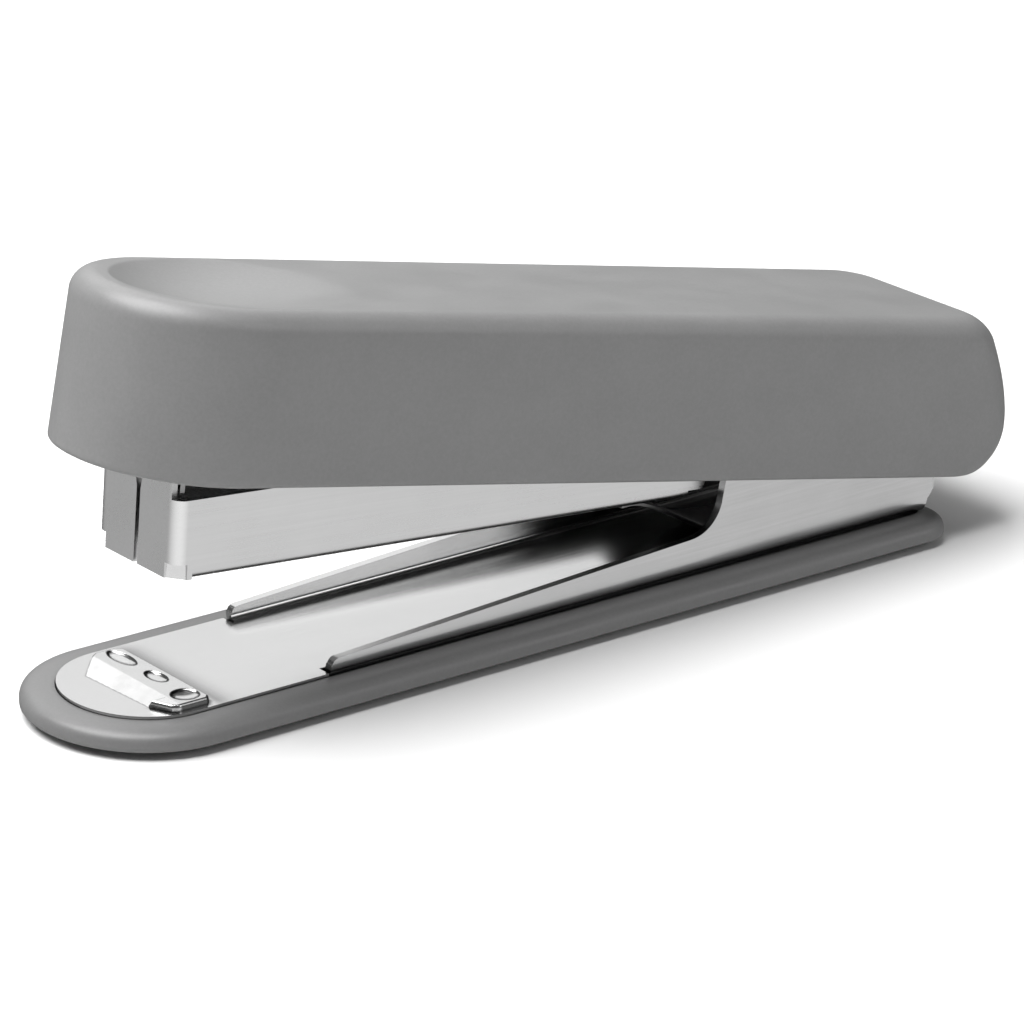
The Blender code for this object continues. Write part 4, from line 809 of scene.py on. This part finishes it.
def magazine_channel():
    """The folded sheet as an outer skin and its inner partner, block by block, joined where they meet.

    The nose block runs from the slit round the corner: its skin is the nose plane, then a circle of
    the corner's radius, then the wall. The fold block turns (y, z) through a circle of the fold's
    radius into the floor. The arm block is ruled between its lower and its upper edge. A small tab
    lies across the relief in each lower corner.
    """
    blocks = []
    heights = np.unique(np.concatenate([np.linspace(WALL_BOTTOM, WALL_BOTTOM + FOLD, 3),
                                        [RELIEF_TOP], np.linspace(RELIEF_TOP, WALL_TOP, 14),
                                        np.linspace(WALL_TOP, FLAP_TOP, 5), [FLARE_START]]))
    bend = np.linspace(0.0, np.pi / 2, 9)
    for side, slit in ((1.0, SLIT_LEFT), (-1.0, -SLIT_RIGHT)):
        flat = np.concatenate([np.linspace(slit, RELIEF_HALF, 9), [5.8, CHANNEL_HALF - CORNER]])
        rest = np.array([-96.2, RELIEF_END, -95.8, FOLD_START])
        nose_x = np.concatenate([np.full(flat.size, NOSE_X), NOSE_X + CORNER * (1 - np.cos(bend[1:])),
                                 rest])
        nose_y = np.concatenate([flat, CHANNEL_HALF - CORNER + CORNER * np.sin(bend[1:]),
                                  np.full(rest.size, CHANNEL_HALF)])
        to_x = np.concatenate([np.ones(flat.size), np.cos(bend[1:]), np.zeros(rest.size)])
        to_y = np.concatenate([np.zeros(flat.size), -np.sin(bend[1:]), -np.ones(rest.size)])
        outer = np.stack(np.broadcast_arrays(nose_x[:, None], side * nose_y[:, None],
                                             heights[None, :]), axis=-1).copy()
        flare = FLARE * np.clip((heights - FLARE_START) / (FLAP_TOP - FLARE_START), 0.0, 1.0)
        share = np.clip(1 - (nose_y - slit) / 2.0, 0.0, 1.0) * (nose_x <= NOSE_X)
        outer[..., 1] += side * share[:, None] * flare[None, :]
        shift = np.stack([to_x, side * to_y, 0 * to_x], axis=-1)[:, None, :] * SHEET
        mid_y, mid_x = (nose_y[1:] + nose_y[:-1]) / 2, (nose_x[1:] + nose_x[:-1]) / 2
        mid_z = (heights[1:] + heights[:-1]) / 2
        in_relief = ((mid_y[:, None] > RELIEF_HALF) & (mid_x[:, None] < RELIEF_END)
                     & (mid_z[None, :] < RELIEF_TOP))
        over_wall = (mid_y[:, None] > FLAP_HALF) & (mid_z[None, :] > WALL_TOP)
        blocks.append((outer, outer + shift, ~(in_relief | over_wall)))

        wall_x = np.linspace(FOLD_START, FLOOR_END, 42)
        wall_z = heights[(heights > WALL_BOTTOM + FOLD - 1e-6) & (heights < WALL_TOP + 1e-6)]
        wall = np.stack(np.broadcast_arrays(wall_x[:, None], side * CHANNEL_HALF, wall_z[None, :]), axis=-1)
        inward = np.array([0.0, -side * SHEET, 0.0])
        blocks.append((wall, wall + inward, None))
        fold = np.linspace(0.0, np.pi / 2, 7)
        circle_y, circle_z = np.cos(fold), -np.sin(fold)

        def folded(radius):
            return np.stack(np.broadcast_arrays(
                wall_x[:, None], side * (CHANNEL_HALF - FOLD + radius * circle_y)[None, :],
                (WALL_BOTTOM + FOLD + radius * circle_z)[None, :]), axis=-1)

        blocks.append((folded(FOLD), folded(FOLD - SHEET), None))
        lower = np.concatenate([
            [[FLOOR_END, WALL_BOTTOM + FOLD]], arc_points((-29.3, -10.85), 2.5, -40, 0, 5),
            evenly([[-26.8, -10.2], [-26.8, -9.5], [1.18, -2.54]], 1.5),
            arc_points((0.0, 0.0), ARM_EYE, -60, 0, 7)])
        upper = rounded_line([(FLOOR_END, WALL_TOP), (-27.0, WALL_TOP), (-9.0, -0.6), (-0.96, 2.63)], 2.0)
        upper = np.concatenate([upper, arc_points((0.0, 0.0), ARM_EYE, 100, 4, 8)])
        length = np.concatenate([[0.0], np.cumsum(np.linalg.norm(np.diff(upper, axis=0), axis=1))])
        share = np.concatenate([[0.0], np.cumsum(np.linalg.norm(np.diff(lower, axis=0), axis=1))])
        share = share / share[-1] * length[-1]
        upper = np.stack([np.interp(share, length, upper[:, k]) for k in (0, 1)], axis=1)
        levels = (wall_z - wall_z[0]) / (wall_z[-1] - wall_z[0])
        ruled = lower[:, None, :] + (upper - lower)[:, None, :] * levels[None, :, None]
        arm_y = np.full(ruled.shape[:2], side * CHANNEL_HALF)
        arm = np.stack([ruled[..., 0], arm_y, ruled[..., 1]], axis=-1)
        blocks.append((arm, arm + inward, None))
        u, v = np.linspace(0.0, 1.0, 6)[:, None], np.linspace(0.0, 1.0, 4)[None, :]
        inset = TAB_INSET * (1 + v)
        tab = np.stack(np.broadcast_arrays(
            NOSE_X + 0.15 + TAB_LONG * u + 0.65 * inset,
            side * (RELIEF_HALF + 0.05 + TAB_WIDE * u - 0.6 * inset),
            WALL_BOTTOM + (RELIEF_TOP - WALL_BOTTOM + 0.1) * v), axis=-1)
        blocks.append((tab, tab + np.array([0.4, -side * 0.35, 0.0]), None))
    floor_y = np.linspace(-1.0, 1.0, 21) * (CHANNEL_HALF - FOLD)
    floor = np.stack(np.broadcast_arrays(np.linspace(FLOOR_START, FLOOR_END, 40)[:, None],
                                         floor_y[None, :], WALL_BOTTOM), axis=-1)
    blocks.append((floor, floor + [0.0, 0.0, SHEET], None))
    channel = sheet_piece("magazine_channel_folded", in_magazine, blocks, MAGAZINE_STEEL, "magazine",
                          ["magazine_channel"])
    return round_edges(channel, 0.13, 2, 60.0)


magazine_channel()

# ---- Staple rail and staples -------------------------------------------------------------------
# The inner rail is a folded steel channel; the staples sit astride it. A half strip is about
# eighty-five galvanised wires side by side, held together by a thin glue.
RAIL_START, RAIL_END, RAIL_HALF, RAIL_TOP = -94.9, -30.0, 5.4, -6.5
STAPLE_PITCH, STAPLE_LEG, WIRE_SWELL, STRIP_END = 0.5, 6.4, 0.09, -52.3


def saddle_line(half, top, bottom, corner, steps=5):
    """An upside-down U in end view, from one foot over the top to the other, as (y, z) points."""
    right = arc_points((half - corner, top - corner), corner, 0, 90, steps)
    foot = evenly([[half, bottom], [half, top - corner]], 1.2)
    one = np.concatenate([foot[:-1], right])
    return np.concatenate([one, evenly([[half - corner, top], [corner - half, top]], 1.0)[1:-1],
                           one[::-1] * [-1, 1]])


def along_x(line, stations):
    """An end-view line (y, z) carried along X."""
    return np.stack(np.broadcast_arrays(stations[:, None], line[None, :, 0], line[None, :, 1]), axis=-1)


rail_x, rail_foot = np.linspace(RAIL_START, RAIL_END, 30), WALL_BOTTOM + SHEET + 0.3
rail = sheet_piece("staple_rail_folded", in_magazine,
                   [(along_x(saddle_line(RAIL_HALF, RAIL_TOP, rail_foot, 1.0), rail_x),
                     along_x(saddle_line(RAIL_HALF - SHEET, RAIL_TOP - SHEET, rail_foot, 0.2), rail_x),
                     None)], MAGAZINE_STEEL, "magazine", ["staple_rail"])
round_edges(rail, *SMALL_RADIUS)


def galvanised_wire(name, turn):
    """Zinc-coated wire: a soft bright grey with small dull patches."""
    material, tree, shader = new_finish(name, 1.0)
    patch = noise_field(tree, (1900.0, 700.0, 700.0), 3.0, turn)
    tree.links.new(tone(tree, patch, (0.60, 0.60, 0.61), (0.76, 0.76, 0.76)), shader.inputs["Base Color"])
    tree.links.new(spread(tree, patch, 0.28, 0.45), shader.inputs["Roughness"])
    return material


def staple_strip():
    """The staples' U carried along the rail, swelling once per wire by swell |sin(pi x / pitch)|^0.7."""
    count = int(round((STRIP_END - RAIL_START) / STAPLE_PITCH))
    x = np.linspace(RAIL_START, RAIL_START + count * STAPLE_PITCH, count * 6 + 1)
    foot = RAIL_TOP + 0.8 - STAPLE_LEG
    inner = saddle_line(RAIL_HALF + 0.45, RAIL_TOP + 0.3, foot, 0.25)
    centre = saddle_line(RAIL_HALF + 0.86, RAIL_TOP + 0.71, foot, 0.55)
    swell = np.abs(np.sin(np.pi * (x - RAIL_START) / STAPLE_PITCH)) ** 0.7 * WIRE_SWELL
    outward = centre - inner
    outward /= np.linalg.norm(outward, axis=1, keepdims=True)
    skin = along_x(centre, x)
    skin[..., 1] += swell[:, None] * outward[None, :, 0]
    skin[..., 2] += swell[:, None] * outward[None, :, 1]
    return sheet_piece("staple_strip_wires", in_magazine, [(skin, along_x(inner, x), None)],
                       galvanised_wire("staple_wire", MAGAZINE_PITCH), "magazine", ["staple_strip"],
                       50.0)


staple_strip()

# ---- Pusher, its rod and its spring ------------------------------------------------------------
# A folded steel slider astride the rail pushes the strip forward. A coil of music wire on a guide
# rod drives it from a bracket at the rear, and closes up when the slider is drawn back.
PUSHER_START, PUSHER_END, PUSHER_FOOT = -52.0, -42.0, -11.5
ROD_Z, ROD_RADIUS, BRACKET_X = -4.0, 0.8, -14.0
pusher_x = np.linspace(PUSHER_START, PUSHER_END, 12)
inner_half = RAIL_HALF + 0.3
slider = sheet_piece("pusher_slider", in_magazine,
                     [(along_x(saddle_line(inner_half + 0.6, RAIL_TOP + 1.1, PUSHER_FOOT, 0.8), pusher_x),
                       along_x(saddle_line(inner_half, RAIL_TOP + 0.3, PUSHER_FOOT, 0.2), pusher_x),
                       None)], MAGAZINE_STEEL, "pusher", ["pusher"])
round_edges(slider, *SMALL_RADIUS)


def ring_plate(outline, hole, centre, x, thick):
    """An upright plate with a round hole, filled by straight lines from its outline to the hole.

    Each point of the outline has its partner on the hole's circle at the same angle about the centre.
    """
    outline = evenly(np.concatenate([outline, outline[:1]]), 0.35)
    around = np.unwrap(np.arctan2(outline[:, 1] - centre[1], outline[:, 0] - centre[0]))
    circle = np.stack([centre[0] + hole * np.cos(around), centre[1] + hole * np.sin(around)], axis=1)
    t = np.linspace(0.0, 1.0, 4)[None, :, None]
    flat = outline[:, None, :] * (1 - t) + circle[:, None, :] * t
    front = np.stack([np.full(flat.shape[:2], x - thick / 2), flat[..., 0], flat[..., 1]], axis=-1)
    return front + [thick, 0.0, 0.0], front


lug_outline = np.array([(-2.4, -5.4), (2.4, -5.4), (2.4, -3.4), (1.4, -2.2), (-1.4, -2.2),
                        (-2.4, -3.4)])
lug_plate = ring_plate(lug_outline, ROD_RADIUS + 0.2, (0.0, ROD_Z), PUSHER_END - 0.6, 1.2)
lug = sheet_piece("pusher_lug", in_magazine, [(*lug_plate, None)], MAGAZINE_STEEL, "pusher", ())
round_edges(lug, *SMALL_RADIUS)
bracket_outline = np.array([(-6.3, -9.0), (6.3, -9.0), (6.3, -2.8), (2.6, -1.4), (-2.6, -1.4),
                            (-6.3, -2.8)])
bracket_plate = ring_plate(bracket_outline, ROD_RADIUS + 0.3, (0.0, ROD_Z), BRACKET_X, SHEET)
bracket = sheet_piece("spring_bracket_plate", in_magazine, [(*bracket_plate, None)], MAGAZINE_STEEL,
                      "magazine", ["spring_bracket"])
round_edges(bracket, *SMALL_RADIUS)

MAGAZINE_SPRING_STEEL = spring_steel("spring_steel_magazine", MAGAZINE_PITCH, 0.36)
rod_start = PUSHER_END - 1.2 - 0.2 - 0.8
rod = spun(eased([(0.0, rod_start), (1.1, rod_start), (1.1, rod_start + 0.8), (0.8, rod_start + 0.8),
                  (0.8, -9.0), (0.0, -9.0)], 0.1), (0.0, 0.0, 0.0), "Z", 32)
rod = np.stack([rod[..., 2], rod[..., 0], rod[..., 1] + ROD_Z], axis=-1)
grid_piece("pusher_rod_wire", in_magazine(rod), MAGAZINE_SPRING_STEEL, "pusher", ["pusher_rod"])


def wire_along(path, radius, around=12):
    """A round wire: at each point of the path a circle in the plane square to its direction.

    The circle's first axis is the path's direction crossed with a fixed vector, the second is square
    to both. The first and last rings shrink to a point, which closes the ends.
    """
    step = np.gradient(path, axis=0)
    step /= np.linalg.norm(step, axis=1, keepdims=True)
    fixed = np.array([0.13, 0.31, 0.94])
    u = np.cross(step, fixed)
    u /= np.linalg.norm(u, axis=1, keepdims=True)
    v = np.cross(step, u)
    t = np.linspace(0.0, 2 * np.pi, around + 1)
    ring = u[:, None] * np.cos(t)[None, :, None] + v[:, None] * np.sin(t)[None, :, None]
    tube = path[:, None] + ring * radius
    first = np.repeat(path[:1, None], around + 1, axis=1)
    last = np.repeat(path[-1:, None], around + 1, axis=1)
    return np.concatenate([first, tube, last])


TURNS, COIL_RADIUS, COIL_WIRE, CLOSED_TURN = 14, 1.7, 0.25, 0.6
coil_start, coil_end = PUSHER_END + 0.55, BRACKET_X - SHEET / 2 - 0.55
angle = np.linspace(0.0, TURNS * 2 * np.pi, TURNS * 36 + 1)
share = angle / angle[-1]
end_turns = np.clip(share * TURNS, 0.0, 1.0) + np.clip(share * TURNS - (TURNS - 1), 0.0, 1.0)
open_turns = np.clip((share * TURNS - 1) / (TURNS - 2), 0.0, 1.0)
coil_x = coil_start + end_turns * CLOSED_TURN + open_turns * (coil_end - coil_start - 2 * CLOSED_TURN)
coil = wire_along(np.stack([coil_x, COIL_RADIUS * np.sin(angle), ROD_Z + COIL_RADIUS * np.cos(angle)],
                           axis=1), COIL_WIRE)
pusher_spring = grid_piece("pusher_spring_coil", in_magazine(coil), MAGAZINE_SPRING_STEEL, "magazine",
                           ["pusher_spring"], 60.0)
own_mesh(pusher_spring)

# ---- Cover spring ------------------------------------------------------------------------------
# A torsion spring of 0.8 mm wire wound round the pivot pin. One leg bears on the magazine and the
# other lifts the cover's frame.
angle = np.radians(np.linspace(270.0, 104.0 + 4 * 360.0, 180))
share = (angle - angle[0]) / (angle[-1] - angle[0])
TORSION_RADIUS, TORSION_START, TORSION_LONG = 2.35, 2.4, 3.4
coil = np.stack([TORSION_RADIUS * np.cos(angle), TORSION_START + TORSION_LONG * share,
                 TORSION_RADIUS * np.sin(angle)], axis=1)
lower_leg = np.linspace((-12.6, TORSION_START, -TORSION_RADIUS), coil[0], 14)[:-1]
upper_leg = np.linspace(coil[-1], (-12.0, 5.8, -0.57), 14)[1:]
tube = wire_along(np.concatenate([lower_leg, coil, upper_leg]), 0.4, 14)
grid_piece("cover_spring_coil", in_magazine(tube), MAGAZINE_SPRING_STEEL, "magazine", ["cover_spring"],
           60.0)

# ---- Cover -------------------------------------------------------------------------------------
# The cap that the hand presses: 2 mm grey ABS, open below, with a squarish rounded nose, a rear
# face that leans and rounds under, a soft upper edge, and a thumb dish pressed into the top.
COVER_PITCH = math.radians(11.64)
COVER_FRONT, COVER_HALF, COVER_BOTTOM, COVER_TOP = -105.6, 13.3, -13.07, 5.35
COVER_EDGE, COVER_WALL, NOSE_REACH, NOSE_POWER = 2.5, 2.0, 13.5, 2.1
REAR_FULLEST, REAR_WIDEST, REAR_LEAST, REAR_UNDER = -7.6, 16.5, 10.5, 5.6
REAR_CORNER, NOTCH_HALF, NOTCH_TOP, REAR_START = 5.5, 10.9, -5.5, 9.0
FOOT_RADIUS = 0.5
DISH_MIDDLE, DISH_LONG, DISH_WIDE, DISH_DEPTH = -88.4, 13.8, 10.8, 1.75


def in_cover(points):
    return about_pin(points, COVER_PITCH)


def rear_reach(height):
    """How far the rear face stands behind the pin: leaning above its fullest height, a circle below it."""
    above = np.clip((height - REAR_FULLEST) / (COVER_TOP - REAR_FULLEST), 0.0, 1.0)
    below = np.clip((REAR_FULLEST - height) / REAR_UNDER, 0.0, 1.0)
    return (REAR_WIDEST - (REAR_WIDEST - REAR_LEAST) * above ** 1.6
            - REAR_UNDER * (1.0 - np.sqrt(1.0 - below ** 2)))


def cover_plan(height, inset):
    """Half a plan outline at a height, drawn in by an inset, from nose tip to rear middle, and its mirror.

    The nose is a superellipse |x/a|^n + |y/b|^n = 1; the rear corner is a quarter circle whose
    points include the edge of the rear notch.
    """
    a = np.linspace(0.0, np.pi / 2, 61)
    reach, half = NOSE_REACH - inset, COVER_HALF - inset
    middle = COVER_FRONT + NOSE_REACH
    rear, corner = rear_reach(height) - inset, REAR_CORNER - inset
    notch = math.degrees(math.asin((NOTCH_HALF - COVER_HALF + REAR_CORNER) / REAR_CORNER))
    turn = np.concatenate([arc_points((rear - corner, half - corner), corner, 90, notch, 8),
                           arc_points((rear - corner, half - corner), corner, notch, 0, 6)[1:]])
    nose = np.stack([middle - reach * np.cos(a) ** (2 / NOSE_POWER), half * np.sin(a) ** (2 / NOSE_POWER)],
                    axis=1)
    dish = np.linspace(middle, DISH_MIDDLE + DISH_LONG + 2.0, 44)[1:]
    side = np.concatenate([dish, np.linspace(dish[-1], rear - corner, 40)[1:-1]])
    side = np.stack([side, np.full(side.size, half)], axis=1)
    back = np.stack([np.full(8, rear), np.linspace(half - corner, 0.0, 9)[1:]], axis=1)
    loop = np.concatenate([nose, side, turn, back])
    return np.concatenate([loop, (loop * [1, -1])[::-1][1:]])


def dish_depth(x, y):
    """A tilted scoop: depth (1 - r^2), deeper towards the nose, with a small radius at its rim."""
    r2 = ((x - DISH_MIDDLE) / DISH_LONG) ** 2 + (y / DISH_WIDE) ** 2
    tilt = 1.0 - 0.72 * (x - DISH_MIDDLE) / DISH_LONG
    raw = DISH_DEPTH * (1.0 - r2) * tilt
    soft = 0.06
    return 0.5 * (raw + np.sqrt(raw ** 2 + soft ** 2)) * np.clip((1.25 - r2) / 0.25, 0.0, 1.0)


def cover_shell():
    """Rings from the lower edge up the wall, round the upper edge, and over the top to its middle line.

    The upper edge is a quarter circle. Over the top each ring keeps its x and draws in its y, at the
    crown's height less the thumb dish. The inner skin has a partner for every point, one wall inside,
    and the rear notch's sides are cut square so that they pass outside the steel ears.
    """
    straight = np.unique(np.concatenate([np.linspace(COVER_BOTTOM + FOOT_RADIUS, REAR_FULLEST, 16),
                                         [NOTCH_TOP],
                                         np.linspace(REAR_FULLEST, COVER_TOP - COVER_EDGE, 14)]))
    foot, turn = np.linspace(0.0, np.pi / 2, 6), np.linspace(0.0, np.pi / 2, 13)[1:]
    height = np.concatenate([COVER_BOTTOM + FOOT_RADIUS * (1 - np.cos(foot)), straight[1:],
                             COVER_TOP - COVER_EDGE * (1 - np.sin(turn))])
    inset = np.concatenate([FOOT_RADIUS * (1 - np.sin(foot)), np.zeros(straight.size - 1),
                            COVER_EDGE * (1 - np.cos(turn))])
    over = np.clip(height - (COVER_TOP - COVER_EDGE), 0.0, None)
    inner_inset = COVER_WALL + np.where(over > 0.0, inset / COVER_EDGE * 0.4, 0.0)

    def ring_at(level, drawn_in, z):
        plan = cover_plan(level, drawn_in)
        return np.concatenate([plan, np.full((len(plan), 1), z)], axis=1)

    outer = [ring_at(h, i, h) for h, i in zip(height, inset)]
    inner = [ring_at(h, i, z) for h, i, z in zip(height, inner_inset, height - over * 5.0 / 6.0)]
    crown = outer[-1]
    ceiling = inner[-1]
    for share in np.linspace(0.0, 1.0, 40)[1:]:
        ring, under = crown.copy(), ceiling.copy()
        ring[:, 1] *= 1 - share
        under[:, 1] *= 1 - share
        sink = dish_depth(ring[:, 0], ring[:, 1])
        ring[:, 2] -= sink
        under[:, 2] -= sink * 0.6
        outer.append(ring)
        inner.append(under)
    outer, inner = np.stack(outer), np.stack(inner)
    jamb = ((np.abs(outer[..., 1]) > NOTCH_HALF - 0.5) & (outer[..., 2] < NOTCH_TOP + 0.01)
            & (inner[..., 0] > REAR_START))
    clear = np.sign(inner[..., 1]) * np.maximum(np.abs(inner[..., 1]), NOTCH_HALF - 0.4)
    inner[..., 1] = np.where(jamb, clear, inner[..., 1])
    middle = (outer[1:, 1:] + outer[:-1, :-1]) / 2
    notch = ((np.abs(middle[..., 1]) < NOTCH_HALF) & (middle[..., 2] < NOTCH_TOP)
             & (middle[..., 0] > REAR_START))
    return sheet_piece("top_cover_moulding", in_cover, [(outer, inner, ~notch)], COVER_PLASTIC, "cover",
                       ["top_cover"])


COVER_PLASTIC = grey_plastic("grey_plastic_cover", COVER_PITCH)
cover_shell()
BOSS_RADIUS, BOSS_FOOT, BOSS_ROOT = 2.3, 1.85, 3.6
for boss_name, boss_x in (("cover_boss_front", -74.0), ("cover_boss_rear", -28.0)):
    boss = spun(eased([(0.0, BOSS_FOOT), (BOSS_RADIUS, BOSS_FOOT), (BOSS_RADIUS, BOSS_ROOT),
                       (0.0, BOSS_ROOT)]), (boss_x, 0.0, 0.0), "Z")
    grid_piece(boss_name, in_cover(boss), COVER_PLASTIC, "cover", (), 35.0)

# ---- Cover frame, blade and fasteners ----------------------------------------------------------
# Inside the cover a folded steel arm turns on the pin and carries the driver blade at its nose.
# Two screws hold it up against the cover, and two rivets hold the blade.
COVER_STEEL = plated_steel("nickel_steel_cover", COVER_PITCH, 0.56)
HARD_STEEL = spring_steel("hardened_steel", COVER_PITCH, 0.3)
for node, finish in (("cover_frame", COVER_STEEL), ("driver_blade", HARD_STEEL),
                     ("blade_rivet_left", COVER_STEEL), ("blade_rivet_right", COVER_STEEL),
                     ("cover_screw_front", COVER_STEEL), ("cover_screw_rear", COVER_STEEL)):
    part = frame["nodes"][node]
    part.data.materials.clear()
    part.data.materials.append(finish)
